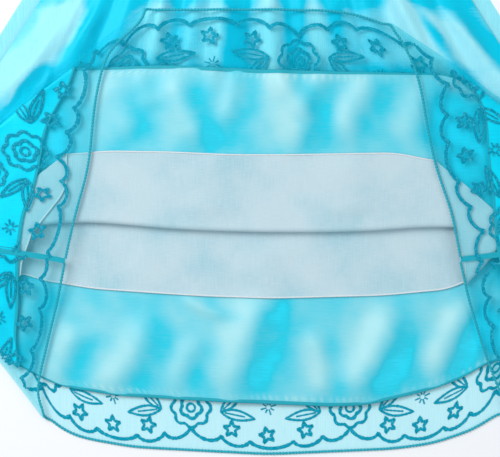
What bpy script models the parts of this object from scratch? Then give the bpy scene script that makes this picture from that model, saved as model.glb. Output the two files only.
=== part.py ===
"""A child's costume dress, laid on its back with the front of its skirt turned up.

Three skirt layers (sheer overskirt, satin skirt, petticoat) hang from one gathered waist. The
front of each is folded up towards the waist along a level crease. The mouth of the skirt is
then opened and pressed flat, so at each side a wing of cloth folds over along two slanting
creases, one through the front panel and one through the back panel, which meet at the tip.

Sizes are in millimetres until the meshes are made, which are in metres, +Z up. The dress lies
in the XY plane with its waist towards +Y, and the origin is on the floor under its middle.
"""

import math

import bpy
import numpy as np

# Sizes of the whole
METRE = 0.001
MIDDLE_X = 16.0
MIDDLE_Y = 216.2
WALL = 1.0
PITCH = 1.9
FLOOR_Z = 0.5
SEAM_SKEW = {"overskirt": -19.0, "satin": -15.0, "petticoat": 0.0}
SEAM_GAP = 0.35
WAIST_Y = 417.0
SHOULDER_Y = 681.0

# Levels of the stacked cloth, counted up from the floor
LEVEL_FRONT = {"petticoat": 3, "satin": 4, "overskirt": 5}
LEVEL_TURNED = {"overskirt": 6, "satin": 7, "petticoat": 8}
LEVEL_WING = {"petticoat": 9, "satin": 10, "overskirt": 11}
LEVEL_BACK = {"overskirt": 0, "satin": 1, "petticoat": 2}
WING_FALL = 6

# Tips of the folded layers and the angles of their slanting creases, in degrees
FOLDS = {
    "overskirt": {"left": (-406.0, 39.0), "right": (438.0, 37.5)},
    "satin": {"left": (-396.0, 39.5), "right": (428.0, 38.0)},
    "petticoat": {"left": (-302.0, 39.0), "right": (281.0, 40.5)},
}

# Length of each panel past the level crease: position across, length
HEMS = {
    "overskirt_front": (
        (-406, 201), (-325, 204), (-245, 206), (-166, 210), (-150, 217), (-136, 231),
        (-115, 239), (0, 239), (80, 238), (106, 236), (129, 230), (146, 223),
        (160, 216), (190, 213), (242, 216), (312, 216), (368, 213), (419, 216), (438, 217),
    ),
    "overskirt_back": (
        (-406, 201), (-364, 200), (-320, 195), (-290, 191), (-266, 190), (-252, 195),
        (-243, 202), (-230, 216), (-216, 225), (-198, 232), (-139, 242), (13, 250),
        (153, 244), (200, 238), (249, 222), (268, 208), (286, 200), (316, 207),
        (360, 214), (408, 218), (438, 217),
    ),
    "satin_front": (
        (-396, 139), (-357, 137), (-327, 145), (-254, 155), (-232, 163), (-202, 174),
        (-95, 178), (0, 173), (87, 171), (204, 169), (222, 159), (240, 151), (266, 149),
        (303, 152), (346, 155), (385, 161), (408, 165), (428, 165),
    ),
    "satin_back": (
        (-396, 139), (-332, 146), (-304, 145), (-271, 151), (-240, 168), (-210, 177),
        (-151, 185), (-53, 191), (87, 197), (123, 195), (189, 180), (233, 165),
        (254, 151), (280, 144), (315, 143), (360, 151), (428, 165),
    ),
    "petticoat_front": (
        (-302, 57), (-285, 67), (-250, 84), (-199, 80), (-163, 84), (-95, 83),
        (-29, 80), (31, 80), (153, 82), (186, 75), (227, 67), (281, 62),
    ),
    "petticoat_back": (
        (-302, 57), (-262, 50), (-239, 59), (-180, 68), (-53, 75), (19, 77),
        (141, 74), (212, 68), (240, 56), (281, 62),
    ),
}

# Level crease: position across, height of the crease
CREASE = ((-406, 0), (-300, 0), (-200, 12), (-150, 9), (-90, 3), (0, 0), (100, 0), (150, 3),
          (200, 7), (280, 0), (406, 0))

# Bow of the slanting creases: height above the level crease, outwards on the left, on the right
BOWS = ((-210, -6, -6), (-150, -9, -6), (-75, -6, -4), (0, 0, 0), (60, 13, 4), (120, 18, 8),
        (150, 16, 8), (180, 14, 3), (210, 9, -3), (245, 7, -8))
BOW_REACH = 110.0

# Width of the short hidden ends of the back layers, as a share of the panel's
HIDDEN_INSET = 0.93

# Half width of the skirt as it lies: height above the crease, overskirt, satin
SIDES = ((0, 422.0, 412.0), (120, 342.0, 324.0), (251, 260.0, 238.0), (340, 204.0, 188.0),
         (417, 141.0, 127.0))

# Gathers of the front: place across (share of half width), depth of the valley beside it
GATHERS = ((-0.80, 4.5), (-0.66, 6.0), (-0.53, 4.0), (-0.39, 5.5), (-0.25, 6.0), (-0.11, 4.5),
           (0.04, 6.0), (0.19, 5.0), (0.32, 4.0), (0.46, 6.0), (0.60, 5.0), (0.71, 5.5),
           (0.82, 4.0))

# Soft swells of the cloth: x, y, reach along, reach across, turn in degrees, height
SWELLS = (
    (-40, 130, 90, 42, 80, 1.8),
    (70, 120, 95, 45, 95, 2.2),
    (-120, 90, 70, 45, 60, 1.2),
    (10, -140, 80, 45, 60, 2.4),
    (140, -145, 85, 42, 40, 2.8),
    (-110, -130, 80, 50, 120, 1.6),
)

# Bodice outline: height above the waist, half width of its outer edge
BODICE_SIDE = ((0, 141.0), (40, 143.0), (80, 147.0), (120, 152.0), (135, 141.0), (160, 122.0),
               (190, 114.0), (225, 115.0), (264, 121.0))
NECK_HALF = 66.0
NECK_FRONT_Y = 196.0
NECK_BACK_Y = 226.0
NECK_ROUND = 26.0
BODICE_WALL = 1.2
CLOSURE_WIDTH = 20.0
CLOSURE_WALL = 1.2

# Colour, roughness and sheen of each cloth
CLOTHS = {
    "overskirt": ((0.10, 0.62, 0.72, 1.0), 0.45, 0.3),
    "satin": ((0.06, 0.52, 0.66, 1.0), 0.28, 0.2),
    "petticoat": ((0.72, 0.82, 0.86, 1.0), 0.85, 0.1),
    "closure": ((0.80, 0.86, 0.88, 1.0), 0.9, 0.0),
}


def smooth(share):
    share = np.clip(share, 0.0, 1.0)
    return share * share * (3.0 - 2.0 * share)


def from_table(table, place, column=1, soft=12.0):
    """The table's value at a place, eased over a short way on each side of it."""
    across = [row[0] for row in table]
    value = [row[column] for row in table]
    steps = (-1.0, -0.5, 0.0, 0.5, 1.0)
    inner = min(soft, place - across[0], across[-1] - place)
    reach = max(inner, 0.0)
    return sum(float(np.interp(place + step * reach, across, value)) for step in steps) / 5.0


def half_width(y, column=1):
    return from_table(SIDES, min(max(y, 0.0), WAIST_Y), column, 20.0)


def middle_x(y):
    """The middle of the skirt, which lies a little to the right below its hips."""
    return MIDDLE_X * (1.0 - float(smooth(y / 200.0)))


def crease_y(x):
    return from_table(CREASE, min(max(x, -406.0), 406.0), 1, 30.0)


def body_half_width(y):
    if y <= WAIST_Y:
        return half_width(y)
    return from_table(BODICE_SIDE, min(y, SHOULDER_Y) - WAIST_Y, 1, 8.0)


def swell(x, y):
    total = 0.0
    for place_x, place_y, along, across, turn, height in SWELLS:
        angle = math.radians(turn)
        away_x, away_y = x - place_x, y - place_y
        forward = away_x * math.cos(angle) + away_y * math.sin(angle)
        side = -away_x * math.sin(angle) + away_y * math.cos(angle)
        total += height * math.exp(-0.5 * ((forward / along) ** 2 + (side / across) ** 2))
    return total


def fullness(x, y):
    """How far the air and the gathers inside lift the cloth that lies over them."""
    rise = 8.0 * float(smooth(y / 210.0)) * (1.0 - 0.75 * float(smooth((y - 280.0) / 137.0)))
    fall = 1.0 - float(smooth((y - WAIST_Y - 150.0) / 110.0))
    edge = 1.0 - min(abs(x - middle_x(y)) / body_half_width(y), 1.0) ** 2
    return rise * fall * edge + swell(x, y)


def side_drop(x, y):
    """How far the folded stack sinks towards the skirt's side edge."""
    deepest = 3.8 + (8.2 - 3.8) * float(smooth((y - 45.0) / 95.0))
    inside = 0.85 * (body_half_width(max(y, 0.0)) - abs(x - middle_x(y))) / 90.0
    share = min(max(inside, 0.0), 1.0)
    return deepest * (1.0 - share) ** 2


def gather_valley(x, y):
    """How deep a gather's valley is cut at this place, 0 on a ridge."""
    wide = half_width(y)
    aside = x - middle_x(y)
    share = aside / wide
    strength = float(smooth((y - 25.0) / 130.0)) * (1.0 - 0.35 * float(smooth((y - 300.0) / 117.0)))
    edge = min(max((wide - abs(aside)) / 70.0, 0.0), 1.0)
    nearest = min(GATHERS, key=lambda row: abs(row[0] - share))
    apart = min(abs(nearest[0] - share) / 0.065, 1.0)
    return nearest[1] * float(smooth(apart)) * strength * edge


def lay(x, y, level, wing=False):
    """The height of a layer's middle surface over the floor."""
    if level == 0 and not wing:
        return FLOOR_Z
    lift = fullness(x, y)
    if not wing:
        drop = side_drop(x, y) if level >= 3 else 0.0
        valley = gather_valley(x, y) if level in (3, 4, 5) else 0.0
        return FLOOR_Z + level * PITCH + lift - drop - valley
    above = FLOOR_Z + level * PITCH + lift - side_drop(x, y)
    below = FLOOR_Z + (level - WING_FALL) * PITCH + lift
    share = float(smooth((-6.0 - y) / 110.0))
    return above + (below - above) * share


class Cloth:
    """The middle surface of one piece, as points and four-sided cells."""

    def __init__(self):
        self.points = []
        self.cells = []

    def add(self, point):
        self.points.append(point)
        return len(self.points) - 1

    def grid(self, rows):
        for upper, lower in zip(rows[:-1], rows[1:]):
            for k in range(len(upper) - 1):
                self.cells.append((upper[k], upper[k + 1], lower[k + 1], lower[k]))


def bow(x, y):
    """How far the cloth near a slanting crease is drawn out or in, along X."""
    side, column = ("left", 1) if x < 0 else ("right", 2)
    tip, rise = FOLDS["overskirt"][side]
    angle = math.radians(rise if y > 0 else 90.0 - rise)
    inside = abs(x - tip) * math.sin(angle) - abs(y) * math.cos(angle)
    reach = from_table(BOWS, min(max(y, -210.0), 245.0), column, 20.0)
    return math.copysign(reach, x) * (1.0 - float(smooth(inside / BOW_REACH)))


def warp(x, y, bowed):
    """The place on the floor plan, with the creases bent as they lie."""
    out = bow(x, y) if bowed else 0.0
    return x + out, y + crease_y(x) * (1.0 - float(smooth(abs(y) / 90.0)))


def add_flat(cloth, x, y, level, wing=False):
    x, y = warp(x, y, wing or level > 5 or y < 0)
    return cloth.add((x, y, lay(x, y, level, wing)))


def roll(cloth, x, y, away, low, high, steps):
    """Points round a fold from the lower layer to the upper one, without its two ends."""
    x, y = warp(x, y, True)
    bottom = lay(x, y, low[0], low[1])
    top = lay(x, y, high[0], high[1])
    radius, middle = (top - bottom) / 2.0, (top + bottom) / 2.0
    found = []
    for k in range(1, steps):
        angle = math.pi * k / steps
        reach = radius * math.sin(angle)
        point = (x + away[0] * reach, y + away[1] * reach, middle - radius * math.cos(angle))
        found.append(cloth.add(point))
    return found


def diagonal_x(name, panel, side, share):
    """Where the hem line scaled by a share meets the slanting crease, as x."""
    tip, rise = FOLDS[name][side]
    angle = rise if panel == "front" else 90.0 - rise
    inward = 1.0 if side == "left" else -1.0
    table = HEMS[name + "_" + panel]
    x = tip + inward * 100.0
    for _ in range(40):
        x = 0.5 * (x + tip + inward * share * from_table(table, x) / math.tan(math.radians(angle)))
    return x


def apron(cloth, name, panel, columns, shares, level, first_row=None):
    """The part of a panel between its slanting creases, from the level crease to the hem."""
    table = HEMS[name + "_" + panel]
    towards = 1.0 if panel == "front" else -1.0
    middle = 0.5 * (FOLDS[name]["left"][0] + FOLDS[name]["right"][0])
    rows = [] if first_row is None else [first_row]
    for share in shares[len(rows):]:
        left = diagonal_x(name, panel, "left", share)
        right = diagonal_x(name, panel, "right", share)
        row = []
        for column in columns:
            x = middle + column * ((right - middle) if column > 0 else (middle - left))
            y = towards * share * from_table(table, x)
            row.append(add_flat(cloth, x, y, level))
        rows.append(row)
    return rows


def wing(cloth, name, panel, side, shares, splits, edge, low, steps):
    """The cloth that folds over a slanting crease, from that crease to the side seam."""
    tip, rise = FOLDS[name][side]
    angle = math.radians(rise if panel == "front" else 90.0 - rise)
    inward = 1.0 if side == "left" else -1.0
    towards = 1.0 if panel == "front" else -1.0
    table = HEMS[name + "_" + panel]
    along = (inward * math.cos(angle), towards * math.sin(angle))
    away = (-inward * math.sin(angle), towards * math.cos(angle))
    level = LEVEL_WING[name]
    skew = SEAM_SKEW[name] if side == "right" else 0.0
    rows = []
    for share, start in zip(shares, edge):
        x = diagonal_x(name, panel, side, share)
        y = towards * share * from_table(table, x)
        seam_x = tip + inward * SEAM_GAP / 2.0 + towards * skew * share
        row = [start] + roll(cloth, x, y, away, (low, False), (level, True), steps)
        for split in splits:
            flat_x = x + split * (seam_x - x)
            flat_y = towards * share * from_table(table, flat_x)
            out_x, out_y = flat_x - tip, flat_y
            along_crease = out_x * along[0] + out_y * along[1]
            new_x = tip + 2.0 * along_crease * along[0] - out_x
            new_y = 2.0 * along_crease * along[1] - out_y
            row.append(add_flat(cloth, new_x, new_y, level, True))
        rows.append(row if side == "right" else row[::-1])
    cloth.grid(rows)


def gather_columns(coarse=False):
    centres = [row[0] for row in GATHERS]
    if coarse:
        return [-1.0, -0.96, -0.89] + centres + [0.89, 0.96, 1.0]
    between = [0.5 * (a + b) for a, b in zip(centres[:-1], centres[1:])]
    return sorted([-1.0, -0.95, -0.88] + centres + between + [0.89, 0.95, 1.0])


FRONT_ROWS = (417.0, 375.0, 330.0, 285.0, 240.0, 190.0, 140.0, 90.0, 45.0, 0.0)
SHARES = {
    "overskirt": (0.0, 0.06, 0.18, 0.32, 0.46, 0.6, 0.74, 0.88, 1.0),
    "satin": (0.0, 0.08, 0.24, 0.42, 0.6, 0.8, 1.0),
    "petticoat": (0.0, 0.14, 0.42, 0.7, 1.0),
}
SPLITS_FRONT = {
    "overskirt": (0.0, 0.13, 0.27, 0.41, 0.55, 0.68, 0.79, 0.9, 1.0),
    "satin": (0.0, 0.25, 0.45, 0.62, 0.76, 0.88, 1.0),
    "petticoat": (0.0, 0.35, 0.68, 1.0),
}
SPLITS_BACK = {
    "overskirt": (0.0, 0.2, 0.38, 0.55, 0.7, 0.85, 1.0),
    "satin": (0.0, 0.2, 0.4, 0.6, 0.8, 1.0),
    "petticoat": (0.0, 0.33, 0.67, 1.0),
}


def front_row_x(name, column, y):
    """The overskirt and the satin share their columns, so their gathers nest."""
    if name == "satin" and abs(column) > 0.999:
        return middle_x(y) + math.copysign(half_width(y, 2), column)
    return middle_x(y) + column * half_width(y)


def front_panel(name):
    cloth = Cloth()
    columns = gather_columns()
    if name == "satin":
        columns = [c for c in columns if abs(c) > 0.999 or abs(c) < 0.94]
    in_place = []
    for y in FRONT_ROWS:
        row = [add_flat(cloth, front_row_x(name, c, y), y, LEVEL_FRONT[name]) for c in columns]
        in_place.append(row)
    steps = 3 if name == "overskirt" else 4
    finish_panel(cloth, name, in_place, steps)
    return cloth


def petticoat_front():
    cloth = Cloth()
    columns = gather_columns(coarse=True)
    tip_left, tip_right = FOLDS["petticoat"]["left"][0], FOLDS["petticoat"]["right"][0]
    middle = 0.5 * (tip_left + tip_right)
    in_place = []
    for y in (42.0, 21.0, 0.0):
        row = []
        for column in columns:
            x = middle + column * ((tip_right - middle) if column > 0 else (middle - tip_left))
            row.append(add_flat(cloth, x, y, LEVEL_FRONT["petticoat"]))
        in_place.append(row)
    finish_panel(cloth, "petticoat", in_place, 4)
    return cloth


def finish_panel(cloth, name, in_place, steps):
    """Folds a front panel up at the level crease, then out into its two wings."""
    crease = in_place[-1]
    points = [cloth.points[k] for k in crease]
    rolled = [[] for _ in range(steps - 1)]
    turned = []
    for x, y, z in points:
        low = z
        high = lay(x, y, LEVEL_TURNED[name])
        radius, centre = (high - low) / 2.0, (high + low) / 2.0
        for k in range(1, steps):
            angle = math.pi * k / steps
            place = (x, y - radius * math.sin(angle), centre - radius * math.cos(angle))
            rolled[k - 1].append(cloth.add(place))
        turned.append(cloth.add((x, y, high)))
    tip_left, tip_right = FOLDS[name]["left"][0], FOLDS[name]["right"][0]
    middle = 0.5 * (tip_left + tip_right)
    columns = []
    for x, _, _ in points:
        columns.append((x - middle) / ((tip_right - middle) if x > middle else (middle - tip_left)))
    apron_rows = apron(cloth, name, "front", columns, SHARES[name], LEVEL_TURNED[name], turned)
    cloth.grid(in_place + rolled + apron_rows)
    shares = SHARES[name][1:]
    for side, end in (("left", 0), ("right", -1)):
        edge = [row[end] for row in apron_rows[1:]]
        turn = 6 if name == "overskirt" else 4 if name == "satin" else 3
        rows = SPLITS_FRONT[name]
        wing(cloth, name, "front", side, shares, rows, edge, LEVEL_TURNED[name], turn)


def back_panel(name):
    cloth = Cloth()
    columns = gather_columns(coarse=True)
    tip_left, tip_right = FOLDS[name]["left"][0], FOLDS[name]["right"][0]
    middle = 0.5 * (tip_left + tip_right)
    upper = (417.0, 330.0, 240.0, 120.0) if name == "overskirt" else (42.0,)
    rows = []
    for y in upper:
        row = []
        for column in columns:
            if name == "overskirt":
                x = middle_x(y) + column * half_width(y)
            else:
                half = (tip_right - middle) if column > 0 else (middle - tip_left)
                x = middle + column * half * HIDDEN_INSET
            row.append(add_flat(cloth, x, y, LEVEL_BACK[name]))
        rows.append(row)
    apron_rows = apron(cloth, name, "back", columns, SHARES[name], LEVEL_BACK[name])
    cloth.grid(rows + apron_rows)
    shares = SHARES[name][1:]
    for side, end in (("left", 0), ("right", -1)):
        edge = [row[end] for row in apron_rows[1:]]
        turn = 6 if name == "overskirt" else 4 if name == "satin" else 3
        splits = SPLITS_BACK[name]
        wing(cloth, name, "back", side, shares, splits, edge, LEVEL_BACK[name], turn)
    return cloth


def bodice_rows(neck_y):
    """Rows of (x, y) for one whole bodice panel below its straps, and the two strap grids."""
    rise = (0.0, 0.17, 0.34, 0.5, 0.64, 0.8, 1.0)
    top = neck_y + NECK_ROUND
    inner = (1.0, 0.72, 0.4, 0.0, -0.4, -0.72, -1.0)
    lower = []
    for share in rise:
        row = []
        edge_y = share * top
        wide = from_table(BODICE_SIDE, edge_y, 1, 8.0)
        strap = [wide * k + NECK_HALF * (1.0 - k) for k in (1.0, 0.75, 0.4)]
        for x in strap:
            row.append((-x, edge_y))
        for k in inner:
            x = NECK_HALF * k
            row.append((-x, share * (neck_y + NECK_ROUND * k * k)))
        for x in reversed(strap):
            row.append((x, edge_y))
        lower.append(row)
    straps = {"left": [], "right": []}
    for share in (0.34, 0.67, 1.0):
        y = top + share * (SHOULDER_Y - WAIST_Y - top)
        wide = from_table(BODICE_SIDE, y, 1, 8.0)
        neck = NECK_HALF + 4.0 * math.sin(share * 1.5)
        xs = [neck + (wide - neck) * k for k in (1.0, 0.75, 0.4, 0.0)]
        straps["left"].append([(-x, y) for x in xs])
        straps["right"].append([(x, y) for x in reversed(xs)])
    return lower, straps


def bodice_front():
    cloth = Cloth()
    lower, straps = bodice_rows(NECK_FRONT_Y)

    def place(x, y):
        y_all = WAIST_Y + 0.9 + y
        end = max(0.0, (SHOULDER_Y - y_all) / 60.0)
        z = lay(x, y_all, LEVEL_FRONT["overskirt"] + 1) - PITCH
        low = FLOOR_Z + WALL / 2.0 + BODICE_WALL / 2.0 + 0.35
        share = min(end, 1.0)
        return cloth.add((x, y_all, max(low + (z - low) * (2 * share - share * share), low)))

    rows = [[place(x, y) for x, y in row] for row in lower]
    cloth.grid(rows)
    top = rows[-1]
    left = [top[:4]] + [[place(x, y) for x, y in row] for row in straps["left"]]
    right = [top[-4:]] + [[place(x, y) for x, y in row] for row in straps["right"]]
    cloth.grid(left)
    cloth.grid(right)
    return cloth


def bodice_back(side):
    """One half of the bodice back. The left half lies over the right one at the closure."""
    cloth = Cloth()
    lower, straps = bodice_rows(NECK_BACK_Y)
    half = CLOSURE_WIDTH / 2.0 + 2.0
    step = 2.0 * FLOOR_Z + CLOSURE_WALL + 0.8

    def place(x, y):
        z = FLOOR_Z
        if side == "left":
            z += step * float(smooth(1.0 - (-x - half) / 15.0))
        return cloth.add((x, WAIST_Y + 0.9 + y, z))

    rows = []
    for row in lower:
        if side == "left":
            centre_y = row[6][1]
            kept = [(x, y) for x, y in row if x < -half - 15.0]
            kept += [(-half - 7.0, centre_y), (-half, centre_y), (half, centre_y)]
        else:
            kept = [(-half, row[6][1]), (half, row[6][1])]
            kept += [(x, y) for x, y in row if x > half + 10.0]
        rows.append([place(x, y) for x, y in kept])
    cloth.grid(rows)
    top = rows[-1][:4] if side == "left" else rows[-1][-4:]
    cloth.grid([top] + [[place(x, y) for x, y in row] for row in straps[side]])
    return cloth


def thicken(cloth, wall):
    """Points and faces of a closed wall on both sides of the middle surface."""
    points = np.array(cloth.points, float)
    cells = cloth.cells
    normals = np.zeros_like(points)
    for cell in cells:
        a, b, c, d = (points[k] for k in cell)
        normal = np.cross(c - a, d - b)
        length = np.linalg.norm(normal)
        if length > 1e-9:
            normal = normal / length
        for k in cell:
            normals[k] += normal
    normals /= np.maximum(np.linalg.norm(normals, axis=1), 1e-9)[:, None]
    count = len(points)
    both = np.concatenate([points + normals * wall / 2.0, points - normals * wall / 2.0])
    halves = [(a, b, c) for a, b, c, _ in cells] + [(a, c, d) for a, _, c, d in cells]
    faces = halves + [(c + count, b + count, a + count) for a, b, c in halves]
    used = {}
    for cell in cells:
        for a, b in zip(cell, cell[1:] + cell[:1]):
            used[(a, b)] = used.get((a, b), 0) + 1
    for a, b in used:
        if (b, a) not in used:
            faces.append((b, a, a + count, b + count))
    return both, faces


def paint(name, cloth_name):
    colour, rough, sheen = CLOTHS[cloth_name]
    material = bpy.data.materials.new(name + "_cloth")
    material.use_nodes = True
    shader = material.node_tree.nodes["Principled BSDF"]
    shader.inputs["Base Color"].default_value = colour
    shader.inputs["Roughness"].default_value = rough
    shader.inputs["Sheen Weight"].default_value = sheen
    shader.inputs["Metallic"].default_value = 0.0
    material.diffuse_color = colour
    return material


def make(name, points, faces, cloth_name):
    """Makes the object, with its faces turned outwards and any spare points left out."""
    used = sorted({k for face in faces for k in face})
    index = {old: new for new, old in enumerate(used)}
    scaled = [((points[k][0] - MIDDLE_X) * METRE, (points[k][1] - MIDDLE_Y) * METRE,
               points[k][2] * METRE) for k in used]
    faces = [tuple(index[k] for k in face) for face in faces]
    mesh = bpy.data.meshes.new(name)
    mesh.from_pydata(scaled, [], faces)
    mesh.validate()
    mesh.update()
    volume = 0.0
    for polygon in mesh.polygons:
        corners = [mesh.vertices[k].co for k in polygon.vertices]
        for k in range(1, len(corners) - 1):
            volume += corners[0].dot(corners[k].cross(corners[k + 1]))
    if volume < 0.0:
        mesh.flip_normals()
    mesh.shade_smooth()
    thing = bpy.data.objects.new(name, mesh)
    thing.data.materials.append(paint(name, cloth_name))
    bpy.context.scene.collection.objects.link(thing)
    return thing


def make_cloth(name, cloth, wall, cloth_name):
    points, faces = thicken(cloth, wall)
    return make(name, points, faces, cloth_name)


def folded_core():
    """The layers hidden in the folded skirt: a body under the satin, flat under its middle."""
    inner = [c for c in gather_columns() if abs(c) < 0.86]
    rows_y = [416.0, 375.0, 330.0, 285.0, 240.0, 190.0, 140.0, 90.0, 52.0]
    bottom_z = FLOOR_Z + WALL / 2.0 + 0.4
    under = WALL + 0.4
    points, top, low = [], [], []
    for y in rows_y:
        top_row, low_row = [], []
        for column in inner:
            x, real_y = warp(middle_x(y) + column * half_width(y), y, False)
            roof = lay(x, real_y, LEVEL_FRONT["satin"]) - under
            points.append((x, real_y, max(roof, bottom_z + 0.9)))
            top_row.append(len(points) - 1)
            points.append((x, real_y, bottom_z))
            low_row.append(len(points) - 1)
        top.append(top_row)
        low.append(low_row)
    faces = []
    for r in range(len(rows_y) - 1):
        for k in range(len(inner) - 1):
            faces.append((top[r][k], top[r][k + 1], top[r + 1][k + 1]))
            faces.append((top[r][k], top[r + 1][k + 1], top[r + 1][k]))
            faces.append((low[r][k], low[r + 1][k], low[r + 1][k + 1], low[r][k + 1]))
    last = len(rows_y) - 1
    for k in range(len(inner) - 1):
        faces.append((top[0][k + 1], top[0][k], low[0][k], low[0][k + 1]))
        faces.append((top[last][k], top[last][k + 1], low[last][k + 1], low[last][k]))
    for r in range(last):
        faces.append((top[r][0], top[r + 1][0], low[r + 1][0], low[r][0]))
        faces.append((top[r + 1][-1], top[r][-1], low[r][-1], low[r + 1][-1]))
    return points, faces


def closure():
    """The strip of closed hook and loop tape between the two back halves."""
    wide = CLOSURE_WIDTH / 2.0
    low = 2.0 * FLOOR_Z + 0.4
    high = low + CLOSURE_WALL
    near, far = WAIST_Y + 12.0, WAIST_Y + NECK_BACK_Y - 10.0
    points = [(x, y, z) for z in (low, high) for y in (near, far) for x in (-wide, wide)]
    faces = [(0, 2, 3, 1), (4, 5, 7, 6), (0, 1, 5, 4), (1, 3, 7, 5), (3, 2, 6, 7), (2, 0, 4, 6)]
    return points, faces


def main():
    for thing in list(bpy.data.objects):
        bpy.data.objects.remove(thing, do_unlink=True)
    make_cloth("overskirt_back", back_panel("overskirt"), WALL, "overskirt")
    make_cloth("satin_back", back_panel("satin"), WALL, "satin")
    make_cloth("petticoat_back", back_panel("petticoat"), WALL, "petticoat")
    make_cloth("petticoat_front", petticoat_front(), WALL, "petticoat")
    make_cloth("satin_front", front_panel("satin"), WALL, "satin")
    make_cloth("overskirt_front", front_panel("overskirt"), WALL, "overskirt")
    points, faces = folded_core()
    make("folded_core", points, faces, "petticoat")
    make_cloth("bodice_front", bodice_front(), BODICE_WALL, "satin")
    make_cloth("bodice_back_left", bodice_back("left"), WALL, "satin")
    make_cloth("bodice_back_right", bodice_back("right"), WALL, "satin")
    points, faces = closure()
    make("back_closure", points, faces, "closure")


main()
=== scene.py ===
"""Looks of a child's costume dress that lies on its back with its skirt front turned up.

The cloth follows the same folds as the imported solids. Sizes here are in millimetres until the
meshes are made: X runs to the right, Y up towards the shoulders with 0 at the level crease.
"""

import math

import bmesh
import bpy
import numpy as np
from bpy.props import FloatProperty, FloatVectorProperty, PointerProperty
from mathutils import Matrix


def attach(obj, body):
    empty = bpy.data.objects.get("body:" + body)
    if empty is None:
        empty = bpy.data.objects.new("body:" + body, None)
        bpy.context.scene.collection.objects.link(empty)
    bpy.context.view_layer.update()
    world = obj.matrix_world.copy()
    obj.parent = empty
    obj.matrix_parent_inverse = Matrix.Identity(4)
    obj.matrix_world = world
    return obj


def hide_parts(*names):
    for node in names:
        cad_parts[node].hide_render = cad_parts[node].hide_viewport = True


bl_info = {
    "name": "Costume dress",
    "version": (1, 0, 0),
    "blender": (4, 5, 0),
    "location": "View3D > Sidebar > Dress",
    "description": "Builds a folded costume dress from its skirt layers, hems, print and bodice",
    "category": "Add Mesh",
}

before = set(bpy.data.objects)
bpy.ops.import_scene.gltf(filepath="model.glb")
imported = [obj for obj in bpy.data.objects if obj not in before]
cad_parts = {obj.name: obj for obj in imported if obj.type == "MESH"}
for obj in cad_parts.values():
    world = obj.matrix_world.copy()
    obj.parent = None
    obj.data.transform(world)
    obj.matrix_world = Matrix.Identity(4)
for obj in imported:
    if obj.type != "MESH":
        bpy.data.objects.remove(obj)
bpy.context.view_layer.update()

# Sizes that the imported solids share
METRE = 0.001
MIDDLE_X = 16.0
MIDDLE_Y = 216.2
PITCH = 1.9
FLOOR_Z = 0.5
SEAM_SKEW = {"overskirt": -19.0, "satin": -15.0, "petticoat": 0.0}
SEAM_GAP = 0.1
WAIST_Y = 417.0
SHOULDER_Y = 681.0
WING_FALL = 6
LEVEL_FRONT = {"petticoat": 3, "satin": 4, "overskirt": 5}
LEVEL_TURNED = {"overskirt": 6, "satin": 7, "petticoat": 8}
LEVEL_WING = {"petticoat": 9, "satin": 10, "overskirt": 11}
LEVEL_BACK = {"overskirt": 0, "satin": 1, "petticoat": 2}

# Tips of the folded layers and the angles of their slanting creases, in degrees
FOLDS = {
    "overskirt": {"left": (-406.0, 39.0), "right": (438.0, 37.5)},
    "satin": {"left": (-396.0, 39.5), "right": (428.0, 38.0)},
    "petticoat": {"left": (-302.0, 39.0), "right": (281.0, 40.5)},
}

# Length of each panel past the level crease: position across, length
HEMS = {
    "overskirt_front": (
        (-406, 201), (-325, 204), (-245, 206), (-166, 210), (-150, 217), (-136, 231),
        (-115, 239), (0, 239), (80, 238), (106, 236), (129, 230), (146, 223),
        (160, 216), (190, 213), (242, 216), (312, 216), (368, 213), (419, 216), (438, 217),
    ),
    "overskirt_back": (
        (-406, 201), (-364, 200), (-320, 195), (-290, 191), (-266, 190), (-252, 195),
        (-243, 202), (-230, 216), (-216, 225), (-198, 232), (-139, 242), (13, 250),
        (153, 244), (200, 238), (249, 222), (268, 208), (286, 200), (316, 207),
        (360, 214), (408, 218), (438, 217),
    ),
    "satin_front": (
        (-396, 139), (-357, 137), (-327, 145), (-254, 155), (-232, 163), (-202, 174),
        (-95, 178), (0, 173), (87, 171), (204, 169), (222, 159), (240, 151), (266, 149),
        (303, 152), (346, 155), (385, 161), (408, 165), (428, 165),
    ),
    "satin_back": (
        (-396, 139), (-332, 146), (-304, 145), (-271, 151), (-240, 168), (-210, 177),
        (-151, 185), (-53, 191), (87, 197), (123, 195), (189, 180), (233, 165),
        (254, 151), (280, 144), (315, 143), (360, 151), (428, 165),
    ),
    "petticoat_front": (
        (-302, 57), (-285, 67), (-250, 84), (-199, 80), (-163, 84), (-95, 83),
        (-29, 80), (31, 80), (153, 82), (186, 75), (227, 67), (281, 62),
    ),
    "petticoat_back": (
        (-302, 57), (-262, 50), (-239, 59), (-180, 68), (-53, 75), (19, 77),
        (141, 74), (212, 68), (240, 56), (281, 62),
    ),
}

# Level crease: position across, height of the crease
CREASE = ((-406, 0), (-300, 0), (-200, 12), (-150, 9), (-90, 3), (0, 0), (100, 0), (150, 3),
          (200, 7), (280, 0), (406, 0))

# Bow of the slanting creases: height above the level crease, outwards on the left, on the right
BOWS = ((-210, -6, -6), (-150, -9, -6), (-75, -6, -4), (0, 0, 0), (60, 13, 4), (120, 18, 8),
        (150, 16, 8), (180, 14, 3), (210, 9, -3), (245, 7, -8))
BOW_REACH = 110.0
HIDDEN_INSET = 0.93

# Half width of the skirt as it lies: height above the crease, overskirt, satin
SIDES = ((0, 422.0, 412.0), (120, 342.0, 324.0), (251, 260.0, 238.0), (340, 204.0, 188.0),
         (417, 141.0, 127.0))

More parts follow.
